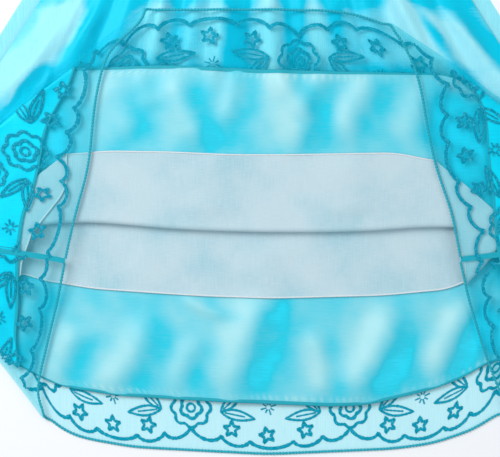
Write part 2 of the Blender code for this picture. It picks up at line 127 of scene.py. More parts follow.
# Gathers of the front: place across (share of half width), depth of the valley beside it
GATHERS = ((-0.80, 4.5), (-0.66, 6.0), (-0.53, 4.0), (-0.39, 5.5), (-0.25, 6.0), (-0.11, 4.5),
           (0.04, 6.0), (0.19, 5.0), (0.32, 4.0), (0.46, 6.0), (0.60, 5.0), (0.71, 5.5),
           (0.82, 4.0))

# Soft swells of the cloth: x, y, reach along, reach across, turn in degrees, height
SWELLS = (
    (-40, 130, 90, 42, 80, 1.8),
    (70, 120, 95, 45, 95, 2.2),
    (-120, 90, 70, 45, 60, 1.2),
    (10, -140, 80, 45, 60, 2.4),
    (140, -145, 85, 42, 40, 2.8),
    (-110, -130, 80, 50, 120, 1.6),
)

# Folds that the satin shows: from x, y, to x, y, half width, height, bend sideways
GATHER_FOLDS = (
    (-290, 140, -190, 255, 13, 7.0, 6),
    (-255, 120, -160, 250, 9, 4.9, -5),
    (-225, 190, -170, 290, 7, 4.2, 4),
    (-330, 60, -255, 190, 12, 5.6, 5),
    (-48, 150, -36, 330, 9, 4.9, 3),
    (28, 150, 18, 330, 11, 6.3, -3),
    (72, 185, 50, 330, 7, 4.2, 4),
    (-112, 185, -84, 330, 8, 3.5, -4),
    (240, 150, 155, 275, 12, 7.0, -7),
    (290, 130, 195, 250, 9, 5.6, 6),
    (200, 175, 130, 300, 7, 4.2, -4),
    (335, 70, 270, 190, 11, 5.6, -5),
)
TURNED_FOLDS = (
    (-92, 172, -58, 88, 17, 6.3, 5),
    (-22, 176, -36, 112, 10, 2.7, -3),
    (22, 172, 52, 86, 18, 7.5, -6),
    (78, 172, 50, 120, 12, 3.9, 4),
    (132, 168, 96, 92, 16, 5.1, 6),
    (-165, 166, -140, 96, 18, 3.9, -5),
    (190, 160, 168, 92, 14, 3.3, 4),
    (-128, 172, -112, 130, 9, 2.4, 2),
    (-60, 78, -40, 8, 26, 2.1, 4),
    (90, 78, 110, 8, 30, 2.4, -4),
)
# Painted highlights: glossy streaks painted into the satin's colour near its sides
PAINTED_SHEEN_STREAKS = (
    (-300, 132, -222, 226, 10, 7.5, 6),
    (-262, 182, -198, 246, 6, 6.0, 3),
    (-330, 90, -262, 150, 9, 6.0, -4),
    (286, 128, 206, 222, 9, 6.0, -6),
    (246, 190, 176, 248, 6, 5.0, -3),
    (330, 80, 268, 150, 9, 6.0, 4),
)
LOW_FOLDS = (
    (14, -70, -28, -190, 20, 8.1, 8),
    (152, -86, 98, -190, 20, 8.8, -7),
    (240, -78, 196, -172, 15, 6.5, 6),
    (60, -112, 74, -190, 11, 4.3, -4),
    (-118, -98, -170, -182, 17, 5.9, -6),
    (-196, -110, -222, -176, 13, 4.1, 4),
    (-80, -76, -30, -98, 7, 3.2, 3),
    (-60, -120, -92, -186, 12, 3.5, 5),
    (-240, -60, -262, -140, 12, 3.5, 4),
    (268, -60, 262, -130, 12, 3.5, -4),
    (20, -14, 8, -66, 24, 2.4, 4),
    (-110, -20, -128, -66, 26, 1.6, -4),
)

# Bodice outline: height above the waist, half width of its outer edge
BODICE_SIDE = ((0, 141.0), (40, 143.0), (80, 147.0), (120, 152.0), (135, 141.0), (160, 122.0),
               (190, 114.0), (225, 115.0), (264, 121.0))
NECK_HALF = 66.0
NECK_FRONT_Y = 196.0
NECK_BACK_Y = 226.0
NECK_ROUND = 26.0
UNDERARM = 122.0
CLOSURE_WIDTH = 20.0
CLOSURE_WALL = 1.2

# Print: places of the deep scallop points along each hem, and how far the print stands off it
SCALLOP_POINTS = {
    "front": (-466.0, -290.0, -133.7, 46.6, 226.0, 395.0, 560.0),
    "back": (-418.0, -244.0, -72.0, 104.0, 270.0, 440.0),
}
STAND_OFF = {
    "front": ((-406, 17), (-290, 16), (-140, 10), (0, 8), (140, 10), (290, 13), (406, 13)),
    "back": ((-406, 14), (-300, 9), (-200, 2), (0, 0), (200, 2), (300, 9), (406, 13)),
}
# One scallop repeat: share along, distance of the point from the hem, bulge of the next lobe
SCALLOPS = ((0.0, 25.0, 9.0), (0.19, 17.0, 8.0), (0.37, 12.5, 7.0), (0.645, 12.5, 8.0),
            (0.83, 17.0, 9.0), (1.0, 25.0, 0.0))
STARS = ((0.256, 25.0), (0.48, 20.0), (0.72, 24.0))
RAYS_SHARE = 0.4875
RAYS_OFF = 51.0
RAYS_RADIUS = 8.8
FLOWER_OFF = 46.0
# Leaves beside a flower: their stem's place, and each leaf's tip across and away, half width
LEAF_STEM = (33.0, -3.0)
LEAVES = ((71.0, -9.0, 5.4), (58.0, 22.0, 5.0))
# Flowers of a second row on the side triangles: panel, place across, distance from the hem
SECOND_ROW = (("front", -322.0, 96.0), ("back", -352.0, 88.0), ("front", 340.0, 92.0))

# Lift of the cloth over the layers in it, in millimetres: air, drop at the sides, gathers
AIR_LIFT = 8.0
AIR_FULL_Y = 210.0
AIR_LOSS = 0.75
AIR_LOSS_FROM_Y = 280.0
BODICE_FLAT_FROM = 150.0
BODICE_FLAT_WAY = 110.0
SIDE_DROP_LOW = 3.8
SIDE_DROP_HIGH = 8.2
SIDE_DROP_FROM_Y = 45.0
SIDE_DROP_WAY = 95.0
SIDE_DROP_REACH = 90.0
SIDE_DROP_PART = 0.85
GATHER_REACH = 0.065
GATHER_FROM_Y = 25.0
GATHER_WAY = 130.0
GATHER_EDGE = 70.0
RIPPLE_HEIGHT = 0.9
SHEER_SINK = 0.9
WING_FALL_FROM_Y = -6.0
WING_FALL_WAY = 110.0
CREASE_FADE = 90.0

# Satin's tone: 0 is deep and 1 pale. Painted highlight and painted shade: each fold is painted lit
# on one side and shaded on the other
TONE_PLAIN = 0.40
PAINTED_LIT = 0.050
PAINTED_GLOW = 0.036
PAINTED_SHADE = 0.088
TONE_BROAD = 0.22
TONE_FINE = 0.16
PAINTED_STREAK = 0.11
TONE_LEAST = 0.13
PAINTED_PUCKER_GLINT = 0.46
PUCKER_INSIDE = 6.5
PUCKER_HALF = 3.2
PUCKER_LENGTH = 1.35
PAINTED_LIGHT_UNDER_HEM = 0.30
UNDER_HEM_Y = (172.0, 236.0)
PAINTED_LIGHT_UNDER_WING = 0.32
UNDER_WING_X = (182.0, 232.0)

# Side seam of the sheer skirt, and how the skirt's grids are divided
HEM_EASE = 25
SEAM_HALF = 3.0
SEAM_SINK = 0.7
SEAM_RIB = 0.25
PANEL_COLUMNS = 173
HEM_ROWS = 56
WING_COLUMNS = 61
ROLL_STEPS = 7
WELD = 0.02

# Inner layers: share of the skirt's width, lowest row, distance under the satin
INNER_WIDTH = 0.855
INNER_LOW_Y = 52.0
INNER_GAP = 1.6

# Stage, in metres: each lamp's name, place, size and watts, and the camera over the dress
LAMPS = (("Large window", (-1.15, 0.75, 1.75), 1.25, 34.0),
         ("Small fill", (1.4, -0.9, 1.7), 1.2, 7.0))
LAMP_AIM = (0.0, -0.1, 0.0)
FLOOR_HALF = 6.0
SENSOR = 36.0
DRESS_HEIGHT = 0.012
CAMERA_HEIGHT = 1.9
PHOTO_WIDTH = 0.55
PHOTO_CENTRE = (-0.0226, -0.21675)


def smooth(share):
    """An even rise from 0 to 1 that starts and ends level."""
    share = np.clip(share, 0.0, 1.0)
    return share * share * (3.0 - 2.0 * share)


def from_table(table, place, column=1, soft=12.0):
    """The table's value at a place, eased over a short way on each side of it."""
    rows = np.array(table, float)
    across, value = rows[:, 0], rows[:, column]
    place = np.asarray(place, float)
    inner = np.minimum(soft, np.minimum(place - across[0], across[-1] - place))
    reach = np.maximum(inner, 0.0)
    steps = (-1.0, -0.5, 0.0, 0.5, 1.0)
    return sum(np.interp(place + step * reach, across, value) for step in steps) / 5.0


def half_width(y, column=1):
    return from_table(SIDES, np.clip(y, 0.0, WAIST_Y), column, 20.0)


def middle_x(y):
    """The middle of the skirt, which lies a little to the right below its hips."""
    return MIDDLE_X * (1.0 - smooth(np.asarray(y, float) / 200.0))


def crease_y(x):
    return from_table(CREASE, np.clip(x, -406.0, 406.0), 1, 30.0)


def body_half_width(y):
    """Half width of the skirt, and above the waist of the bodice."""
    bodice = from_table(BODICE_SIDE, np.clip(y, WAIST_Y, SHOULDER_Y) - WAIST_Y, 1, 8.0)
    return np.where(np.asarray(y) <= WAIST_Y, half_width(y), bodice)


def swell(x, y):
    """The soft swells of the cloth, each an oval hill."""
    total = np.zeros_like(x)
    for place_x, place_y, along, across, turn, height in SWELLS:
        angle = math.radians(turn)
        away_x, away_y = x - place_x, y - place_y
        forward = away_x * math.cos(angle) + away_y * math.sin(angle)
        side = -away_x * math.sin(angle) + away_y * math.cos(angle)
        total += height * np.exp(-0.5 * ((forward / along) ** 2 + (side / across) ** 2))
    return total


def fullness(x, y):
    """How far the air and the gathers inside lift the cloth that lies over them."""
    loss = AIR_LOSS * smooth((y - AIR_LOSS_FROM_Y) / (WAIST_Y - AIR_LOSS_FROM_Y))
    rise = AIR_LIFT * smooth(y / AIR_FULL_Y) * (1.0 - loss)
    fall = 1.0 - smooth((y - WAIST_Y - BODICE_FLAT_FROM) / BODICE_FLAT_WAY)
    edge = 1.0 - np.minimum(np.abs(x - middle_x(y)) / body_half_width(y), 1.0) ** 2
    return rise * fall * edge + swell(x, y)


def side_drop(x, y):
    """How far the folded stack sinks towards the skirt's side edge."""
    more = (SIDE_DROP_HIGH - SIDE_DROP_LOW) * smooth((y - SIDE_DROP_FROM_Y) / SIDE_DROP_WAY)
    inside = body_half_width(np.maximum(y, 0.0)) - np.abs(x - middle_x(y))
    share = np.clip(SIDE_DROP_PART * inside / SIDE_DROP_REACH, 0.0, 1.0)
    return (SIDE_DROP_LOW + more) * (1.0 - share) ** 2


def gather_valley(x, y):
    """How deep a gather's valley is cut at this place, 0 on a ridge."""
    wide = half_width(y)
    aside = x - middle_x(y)
    share = aside / wide
    rows = np.array(GATHERS)
    apart = np.abs(rows[:, 0][:, None] - share.reshape(1, -1))
    nearest = np.argmin(apart, axis=0)
    away = np.minimum(apart[nearest, np.arange(apart.shape[1])] / GATHER_REACH, 1.0)
    depth = rows[nearest, 1]
    strength = smooth((y - GATHER_FROM_Y) / GATHER_WAY)
    strength = strength * (1.0 - 0.35 * smooth((y - 300.0) / (WAIST_Y - 300.0)))
    edge = np.clip((wide - np.abs(aside)) / GATHER_EDGE, 0.0, 1.0)
    return (depth * smooth(away)).reshape(x.shape) * strength * edge


def ridges(table, x, y, widen=1.0):
    """Long soft folds, each highest on its own bent line."""
    total = np.zeros_like(x)
    for from_x, from_y, to_x, to_y, half, height, bend in table:
        line_x, line_y = to_x - from_x, to_y - from_y
        length = math.hypot(line_x, line_y)
        along = ((x - from_x) * line_x + (y - from_y) * line_y) / length ** 2
        aside = ((x - from_x) * line_y - (y - from_y) * line_x) / length
        held = np.clip(along, 0.0, 1.0)
        aside = aside - bend * 4.0 * held * (1.0 - held)
        ends = smooth((along + 0.12) / 0.4) * smooth((1.12 - along) / 0.4)
        total += height * np.exp(-((aside / (half * widen)) ** 2)) * ends
    return total


def painted_light_and_tone(x, y):
    """How pale the satin is painted: painted highlight on one side of each fold and painted shade
    on the other, painted glossy streaks, painted glints on the hem puckers, painted light under
    the turned-up hem and under the side triangles, and tone that varies at random.
    """
    total = np.full(x.shape, TONE_PLAIN)
    turned = smooth((y - 4.0) / 30.0) * (1.0 - smooth((y - 175) / 20))
    for table, shown in ((LOW_FOLDS, smooth((-y - 4.0) / 30.0)), (TURNED_FOLDS, turned),
                         (GATHER_FOLDS, smooth((y - 100.0) / 60.0))):
        # Painted highlight and painted shade: each fold is painted paler on its left side, a
        # little towards the shoulders, and darker on its right, as if lit from the upper left.
        lit = ridges(table, x + 6.0, y - 2.0, 1.15)
        glow = ridges(table, x + 3.0, y - 2.0, 2.1)
        shade = ridges(table, x - 19.0, y + 4.0, 1.25)
        total = total + shown * (PAINTED_LIT * lit + PAINTED_GLOW * glow - PAINTED_SHADE * shade)
    total = total + TONE_BROAD * (ripple(x * 0.55 + 0.3 * y, y * 0.5) - 0.5)
    # Painted glints: small pale spots along the satin's hems, as if puckers there caught the
    # light.
    for panel, towards in (("satin_front", 1.0), ("satin_back", -1.0)):
        inside = from_table(HEMS[panel], x) - towards * y
        pucker = 0.5 + 0.5 * np.sin(x / PUCKER_LENGTH + 2.4 * np.sin(x / 17.0))
        pucker_glint = np.exp(-((inside - PUCKER_INSIDE) / PUCKER_HALF) ** 2) * pucker ** 2
        total = total + PAINTED_PUCKER_GLINT * pucker_glint * (0.6 + 0.4 * np.sin(x / 31.0))
    # Painted highlights: glossy streaks near the satin's sides.
    total = total + PAINTED_STREAK * ridges(PAINTED_SHEEN_STREAKS, x, y)
    total = total + TONE_FINE * (ripple(2.1 * x + 0.9 * y, 0.9 * y - 0.5 * x) - 0.5)
    # Painted light: the satin is painted paler in a band under the turned-up hem of the sheer
    # skirt, against the shade of the two sheer layers over it.
    first, last = UNDER_HEM_Y
    total = total + PAINTED_LIGHT_UNDER_HEM * smooth((y - first) / 16.0) * (1.0 - smooth((y - last) / 16.0))
    # Painted light: the tone drops under the side triangles, which the satin material turns into a
    # brighter cyan against the shade of the layers over them.
    side = np.where(y > 0.0, *UNDER_WING_X)
    under_wing = smooth((np.abs(x) - side) / 36.0) * (1.0 - smooth((y - 120.0) / 50.0))
    return np.clip(np.clip(total, TONE_LEAST, 1.0) - PAINTED_LIGHT_UNDER_WING * under_wing, 0.0, 1.0)


def ripple(x, y):
    """Small undulations that all the layers share, from 0 to about 1. Lengths are millimetres."""
    first = np.sin(x / 11.0 + 1.7 * np.sin(y / 37.0)) * np.sin(y / 17.0 + 0.8)
    second = np.sin((x + 0.7 * y) / 19.0 + 2.1) * np.sin((y - 0.4 * x) / 14.0)
    third = np.sin((x - 0.5 * y) / 7.3) * np.sin((y + 0.3 * x) / 9.1 + 0.5)
    return 0.5 + 0.22 * first + 0.2 * second + 0.08 * third


def height(x, y, level, wing=False):
    """The height of a layer over the floor, with its folds."""
    if level == 0 and not wing:
        return FLOOR_Z + 0.5 * ripple(x, y) * smooth((-20.0 - y) / 40.0)
    lift = fullness(x, y) + RIPPLE_HEIGHT * ripple(x, y)
    if level in (LEVEL_FRONT["overskirt"], LEVEL_WING["overskirt"]):
        lift = lift - SHEER_SINK
    lift = lift + ridges(LOW_FOLDS, x, y) * smooth(-y / 30.0)
    if level >= 3:
        lift = lift + ridges(GATHER_FOLDS, x, y) * smooth(y / 40.0)
    if level >= 6:
        lift = lift + ridges(TURNED_FOLDS, x, y) * smooth(y / 24.0)
    if not wing:
        drop = side_drop(x, y) if level >= 3 else 0.0
        valley = gather_valley(x, y) if level in (3, 4, 5) else 0.0
        return FLOOR_Z + level * PITCH + lift - drop - valley
    above = FLOOR_Z + level * PITCH + lift - side_drop(x, y)
    below = FLOOR_Z + (level - WING_FALL) * PITCH + lift
    return above + (below - above) * smooth((WING_FALL_FROM_Y - y) / WING_FALL_WAY)


def warp(x, y, bowed):
    """The place on the floor plan, with the creases bent as they lie."""
    outwards = 0.0
    if bowed:
        left = x < 0
        tip = np.where(left, FOLDS["overskirt"]["left"][0], FOLDS["overskirt"]["right"][0])
        rise = np.where(left, FOLDS["overskirt"]["left"][1], FOLDS["overskirt"]["right"][1])
        angle = np.radians(np.where(y > 0, rise, 90.0 - rise))
        inside = np.abs(x - tip) * np.sin(angle) - np.abs(y) * np.cos(angle)
        place = np.clip(y, -210.0, 245.0)
        reach = np.where(left, from_table(BOWS, place, 1, 20.0), from_table(BOWS, place, 2, 20.0))
        outwards = np.where(left, -reach, reach) * (1.0 - smooth(inside / BOW_REACH))
    return x + outwards, y + crease_y(x) * (1.0 - smooth(np.abs(y) / CREASE_FADE))


def place(x, y, level, wing=False, rise=0.0):
    x, y = np.broadcast_arrays(np.asarray(x, float), np.asarray(y, float))
    bowed = wing or level > 5
    straight = warp(x, y, False)
    bent = warp(x, y, True)
    use = np.full(x.shape, True) if bowed else y < 0
    x = np.where(use, bent[0], straight[0])
    y = np.where(use, bent[1], straight[1])
    return np.stack([x, y, height(x, y, level, wing) + rise], axis=-1)


def diagonal_x(name, panel, side, share):
    """Where the hem line scaled by a share meets the slanting crease, as x."""
    tip, rise = FOLDS[name][side]
    angle = math.radians(rise if panel == "front" else 90.0 - rise)
    inward = 1.0 if side == "left" else -1.0
    x = tip + inward * 100.0
    for _ in range(40):
        hem = float(from_table(HEMS[name + "_" + panel], x))
        x = 0.5 * (x + tip + inward * share * hem / math.tan(angle))
    return x


def crease_lines(name, panel, side):
    """The tip, and the directions along and away from the slanting crease."""
    tip, rise = FOLDS[name][side]
    angle = math.radians(rise if panel == "front" else 90.0 - rise)
    inward = 1.0 if side == "left" else -1.0
    towards = 1.0 if panel == "front" else -1.0
    along = (inward * math.cos(angle), towards * math.sin(angle))
    away = (-inward * math.sin(angle), towards * math.cos(angle))
    return tip, inward, towards, along, away


def apron(name, panel, columns, shares, level):
    """The part of a panel between its slanting creases, from the level crease to the hem."""
    table = HEMS[name + "_" + panel]
    towards = 1.0 if panel == "front" else -1.0
    middle = 0.5 * (FOLDS[name]["left"][0] + FOLDS[name]["right"][0])
    rows = []
    for share in shares:
        left = diagonal_x(name, panel, "left", share)
        right = diagonal_x(name, panel, "right", share)
        x = middle + columns * np.where(columns > 0, right - middle, middle - left)
        rows.append(place(x, towards * share * from_table(table, x), level))
    return np.array(rows)


def wing(name, panel, side, shares, splits, low, steps):
    """The cloth that folds over a slanting crease, from that crease to the side seam."""
    tip, inward, towards, along, away = crease_lines(name, panel, side)
    table = HEMS[name + "_" + panel]
    level = LEVEL_WING[name]
    skew = SEAM_SKEW[name] if side == "right" else 0.0
    turns = np.pi * np.arange(0, steps) / steps
    rows = []
    for share in shares:
        x = diagonal_x(name, panel, side, share)
        y = towards * share * float(from_table(table, x))
        start = place([x], [y], low)[0]
        bent_x, bent_y = warp(np.array([x]), np.array([y]), True)
        bottom, top = start[2], float(height(bent_x, bent_y, level, True)[0])
        radius, centre = (top - bottom) / 2.0, (top + bottom) / 2.0
        out = radius * np.sin(turns)
        rolled = np.stack([bent_x[0] + away[0] * out, bent_y[0] + away[1] * out,
                           centre - radius * np.cos(turns)], axis=-1)
        seam_x = tip + inward * SEAM_GAP / 2.0 + towards * skew * share
        flat_x = x + splits * (seam_x - x)
        flat_y = towards * share * from_table(table, flat_x)
        forward = (flat_x - tip) * along[0] + flat_y * along[1]
        new_x = tip + 2.0 * forward * along[0] - (flat_x - tip)
        new_y = 2.0 * forward * along[1] - flat_y
        rows.append(np.concatenate([rolled, place(new_x, new_y, level, True)]))
    return np.array(rows)


class Surface:
    """Grids of points in millimetres, each face with the number of its material."""

    def __init__(self):
        self.points = []
        self.faces = []
        self.paints = []
        self.calm = []
        self.count = 0

    def grid(self, points, paint=0, closed=False, keep=None, calm=0.0):
        points = np.asarray(points, float)
        rows, columns = points.shape[:2]
        index = self.count + np.arange(rows * columns).reshape(rows, columns)
        if closed:
            index = np.concatenate([index, index[:, :1]], axis=1)
        quads = np.stack([index[:-1, :-1], index[:-1, 1:], index[1:, 1:], index[1:, :-1]], axis=-1)
        if keep is not None:
            quads = quads[keep]
        quads = quads.reshape(-1, 4)
        self.points.append(points.reshape(-1, 3))
        self.calm.append(np.full(rows * columns, calm))
        self.count += rows * columns
        self.faces.extend(map(tuple, quads.tolist()))
        self.paints.extend([paint] * len(quads))

    def solid(self, points, faces, paint=0):
        self.faces.extend(tuple(k + self.count for k in face) for face in faces)
        self.paints.extend([paint] * len(faces))
        self.points.append(np.asarray(points, float))
        self.count += len(points)

    def make(self, name, materials, slot, merge=0.0, tone=None, body="root"):
        points = np.concatenate(self.points)
        if tone:
            shown = tone(points[:, 0], points[:, 1])
            # Grids marked calm get less of the painted light and shade, and so more of the painted
            # brighter cyan.
            shown -= shown * np.concatenate(self.calm)
        points = (points - np.array([MIDDLE_X, MIDDLE_Y, 0.0])) * METRE
        mesh = bpy.data.meshes.new(name)
        mesh.from_pydata(points.tolist(), [], self.faces)
        for material in materials:
            mesh.materials.append(material)
        mesh.polygons.foreach_set("material_index", self.paints)
        if tone:
            layer = mesh.attributes.new("painted_light_and_tone", "FLOAT", "POINT")
            layer.data.foreach_set("value", shown.astype(np.float32))
        if merge:
            work = bmesh.new()
            work.from_mesh(mesh)
            bmesh.ops.remove_doubles(work, verts=work.verts, dist=merge * METRE)
            work.to_mesh(mesh)
            work.free()
        mesh.validate()
        mesh.shade_smooth()
        thing = bpy.data.objects.new(name, mesh)
        bpy.context.scene.collection.objects.link(thing)
        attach(thing, body)
        return thing


def spaced(points, step):
    """A line of points at even steps along the way that the given points take."""
    points = np.asarray(points, float)
    walk = np.concatenate([[0.0], np.cumsum(np.linalg.norm(np.diff(points, axis=0), axis=1))])
    count = max(int(round(walk[-1] / step)), 2)
    at = np.linspace(0.0, walk[-1], count + 1)
    return np.stack([np.interp(at, walk, points[:, k]) for k in range(3)], axis=-1)


def eased(points, window):
    """The line with each point moved to the mean of its neighbours, but for its ends."""
    half = window // 2
    padded = np.concatenate([np.repeat(points[:1], half, 0), points,
                             np.repeat(points[-1:], half, 0)])
    return sum(padded[k:k + len(points)] for k in range(window)) / window


def directions(points):
    """Unit steps along a line of points."""
    ahead = np.gradient(points, axis=0)
    return ahead / np.maximum(np.linalg.norm(ahead, axis=1), 1e-9)[:, None]


def tube(surface, points, radius, sides=6, bead=0.0, pitch=3, paint=0):
    """A round cord along the points. bead swells it at every few steps, as stitches do."""
    ahead = directions(points)
    flat = np.stack([-ahead[:, 1], ahead[:, 0], np.zeros(len(points))], axis=-1)
    flat /= np.maximum(np.linalg.norm(flat, axis=1), 1e-6)[:, None]
    up = np.cross(ahead, flat)
    turns = np.arange(sides) * 2.0 * np.pi / sides
    swell_by = 1.0 + bead * np.cos(2.0 * np.pi * np.arange(len(points)) / pitch)
    rings = radius * swell_by[:, None, None] * (
        np.cos(turns)[None, :, None] * flat[:, None, :] + np.sin(turns)[None, :, None]
        * up[:, None, :])
    surface.grid(points[:, None, :] + rings, paint, closed=True)


def overlocked_edge(surface, edge, inner, reach, thick, step=0.85):
    """Cross threads wrapped round a raw edge, each a small rib over both faces."""
    edge_points = spaced(edge, step)
    count = len(edge_points)
    share_old = np.linspace(0.0, 1.0, len(edge))
    share_new = np.linspace(0.0, 1.0, count)
    inward = np.stack([np.interp(share_new, share_old, (inner - edge)[:, k])
                       for k in range(3)], axis=-1)
    inward /= np.maximum(np.linalg.norm(inward, axis=1), 1e-6)[:, None]
    rib = np.where(np.arange(count) % 2 == 0, 1.0, 0.45)
    profile = ((reach, thick * 0.7), (reach * 0.5, thick), (0.2, thick * 0.9), (-0.5, 0.0),
               (0.2, -thick * 0.9), (reach * 0.5, -thick), (reach, -thick * 0.7))
    rows = []
    for into, rise in profile:
        points = edge_points + inward * into
        points = points + np.stack([np.zeros(count), np.zeros(count), rise * rib], axis=-1)
        rows.append(points)
    surface.grid(np.stack(rows, axis=1))


def stitches(surface, line, length=2.4, gap=1.4, radius=0.35):
    """A row of short raised thread ends along a line."""
    points = spaced(line, 0.4)
    ahead = directions(points)
    period = int(round((length + gap) / 0.4))
    half = length / 2.0
    faces = [(0, 1, 2, 3), (4, 7, 6, 5), (0, 4, 5, 1), (1, 5, 6, 2), (2, 6, 7, 3), (3, 7, 4, 0)]
    for k in range(period, len(points) - period, period):
        centre, along = points[k], ahead[k]
        side = np.array([-along[1], along[0], 0.0]) * radius
        up = np.array([0.0, 0.0, radius])
        corners = []
        for way in (-half, half):
            corners += [centre + along * way + side, centre + along * way * 0.7 + up,
                        centre + along * way - side, centre + along * way * 0.7 - up]
        surface.solid(corners, faces)


def node(tree, kind, settings=(), **inputs):
    """Adds a node. An input named by number or by name takes a value or another node's socket."""
    made = tree.nodes.new(kind)
    for key, value in dict(settings).items():
        setattr(made, key, value)
    for key, value in inputs.items():
        socket = made.inputs[int(key[1:])] if key[1:].isdigit() else made.inputs[
            key.replace("_", " ")]
        if isinstance(value, bpy.types.NodeSocket):
            tree.links.new(value, socket)
        else:
            socket.default_value = value
    return made


def arithmetic(tree, way, first, second=0.0):
    return node(tree, "ShaderNodeMath", {"operation": way}, i0=first, i1=second).outputs[0]


def new_group(name, inputs, outputs):
    tree = bpy.data.node_groups.new(name, "ShaderNodeTree")
    for title, kind, value in inputs:
        socket = tree.interface.new_socket(title, in_out="INPUT", socket_type=kind)
        if value is not None:
            socket.default_value = value
    for title, kind in outputs:
        tree.interface.new_socket(title, in_out="OUTPUT", socket_type=kind)
    return tree, tree.nodes.new("NodeGroupInput"), tree.nodes.new("NodeGroupOutput")


def woven_threads():
    """Crossing threads with uneven spacing: their height, and the gaps between them."""
    if "Woven threads" in bpy.data.node_groups:
        return bpy.data.node_groups["Woven threads"]
    tree, given, result = new_group(
        "Woven threads",
        (("Vector", "NodeSocketVector", None), ("Threads per metre", "NodeSocketFloat", 1200.0),
         ("Unevenness", "NodeSocketFloat", 0.5)),
        (("Height", "NodeSocketFloat"), ("Gaps", "NodeSocketFloat")))
    wander = node(tree, "ShaderNodeTexNoise", Vector=given.outputs["Vector"], Scale=160.0,
                  Detail=2.0)
    shift = arithmetic(tree, "MULTIPLY", wander.outputs[0], given.outputs["Unevenness"])
    shift = arithmetic(tree, "MULTIPLY", shift, 12.0)
    parts = node(tree, "ShaderNodeSeparateXYZ", Vector=given.outputs["Vector"])
    turn = arithmetic(tree, "MULTIPLY", given.outputs["Threads per metre"], 2.0 * math.pi)
    waves = []
    for k in (0, 1):
        phase = arithmetic(tree, "MULTIPLY", parts.outputs[k], turn)
        phase = arithmetic(tree, "ADD", phase, shift)
        waves.append(arithmetic(tree, "SINE", phase))
    both = arithmetic(tree, "MULTIPLY", waves[0], waves[1])
    tree.links.new(arithmetic(tree, "ADD", both, 0.5), result.inputs["Height"])
    added = arithmetic(tree, "ADD", waves[0], waves[1])
    gaps = node(tree, "ShaderNodeMapRange", i0=added, i1=0.2, i2=1.6, i3=0.0, i4=1.0)
    tree.links.new(gaps.outputs[0], result.inputs["Gaps"])
    return tree


def cloth_tone():
    """Broad soft variation and fine drawn threads, each a value from 0 to 1."""
    if "Cloth tone" in bpy.data.node_groups:
        return bpy.data.node_groups["Cloth tone"]
    tree, given, result = new_group(
        "Cloth tone",
        (("Vector", "NodeSocketVector", None), ("Patch size", "NodeSocketFloat", 0.05),
         ("Thread length", "NodeSocketFloat", 0.02), ("Thread width", "NodeSocketFloat", 0.001),
         ("Across", "NodeSocketFloat", 0.0)),
        (("Patches", "NodeSocketFloat"), ("Threads", "NodeSocketFloat")))
    patch = arithmetic(tree, "DIVIDE", 1.0, given.outputs["Patch size"])
    broad = node(tree, "ShaderNodeTexNoise", Vector=given.outputs["Vector"], Scale=patch,
                 Detail=3.0, Roughness=0.5)
    tree.links.new(broad.outputs[0], result.inputs["Patches"])
    parts = node(tree, "ShaderNodeSeparateXYZ", Vector=given.outputs["Vector"])
    longer = arithmetic(tree, "DIVIDE", 1.0, given.outputs["Thread length"])
    finer = arithmetic(tree, "DIVIDE", 1.0, given.outputs["Thread width"])
    gain = arithmetic(tree, "SUBTRACT", finer, longer)
    turned = arithmetic(tree, "MULTIPLY", gain, given.outputs["Across"])
    scale_x = arithmetic(tree, "SUBTRACT", finer, turned)
    scale_y = arithmetic(tree, "ADD", longer, turned)
    joined = node(tree, "ShaderNodeCombineXYZ",
                  i0=arithmetic(tree, "MULTIPLY", parts.outputs[0], scale_x),
                  i1=arithmetic(tree, "MULTIPLY", parts.outputs[1], scale_y))
    drawn = node(tree, "ShaderNodeTexNoise", Vector=joined.outputs[0], Scale=1.0, Detail=2.0,
                 Roughness=0.6)
    tree.links.new(drawn.outputs[0], result.inputs["Threads"])
    return tree


def start_material(name):
    """A new material, its nodes, its shader, and the place on the object in metres."""
    material = bpy.data.materials.new(name)
    material.use_nodes = True
    tree = material.node_tree
    shader = tree.nodes["Principled BSDF"]
    where = tree.nodes.new("ShaderNodeTexCoord")
    return material, tree, shader, where.outputs["Object"]


def use_group(tree, group, **inputs):
    made = tree.nodes.new("ShaderNodeGroup")
    made.node_tree = group
    for key, value in inputs.items():
        socket = made.inputs[key.replace("_", " ")]
        if isinstance(value, bpy.types.NodeSocket):
            tree.links.new(value, socket)
        else:
            socket.default_value = value
    return made


def blend_colours(tree, share, low, high):
    made = node(tree, "ShaderNodeMix", {"data_type": "RGBA"}, i0=share, i6=low, i7=high)
    return made.outputs[2]


def ranged(tree, value, from_low, from_high, low, high):
    made = node(tree, "ShaderNodeMapRange", i0=value, i1=from_low, i2=from_high, i3=low, i4=high)
    return made.outputs[0]


def tinted(colour, factor):
    return (min(colour[0] * factor, 1.0), min(colour[1] * factor, 1.0),
            min(colour[2] * factor, 1.0), 1.0)


def bumped(tree, shader, value, strength, distance, before=None):
    bump = node(tree, "ShaderNodeBump", Strength=strength, Distance=distance, Height=value)
    if before is not None:
        tree.links.new(before, bump.inputs["Normal"])
    tree.links.new(bump.outputs[0], shader.inputs["Normal"])
    return bump.outputs[0]


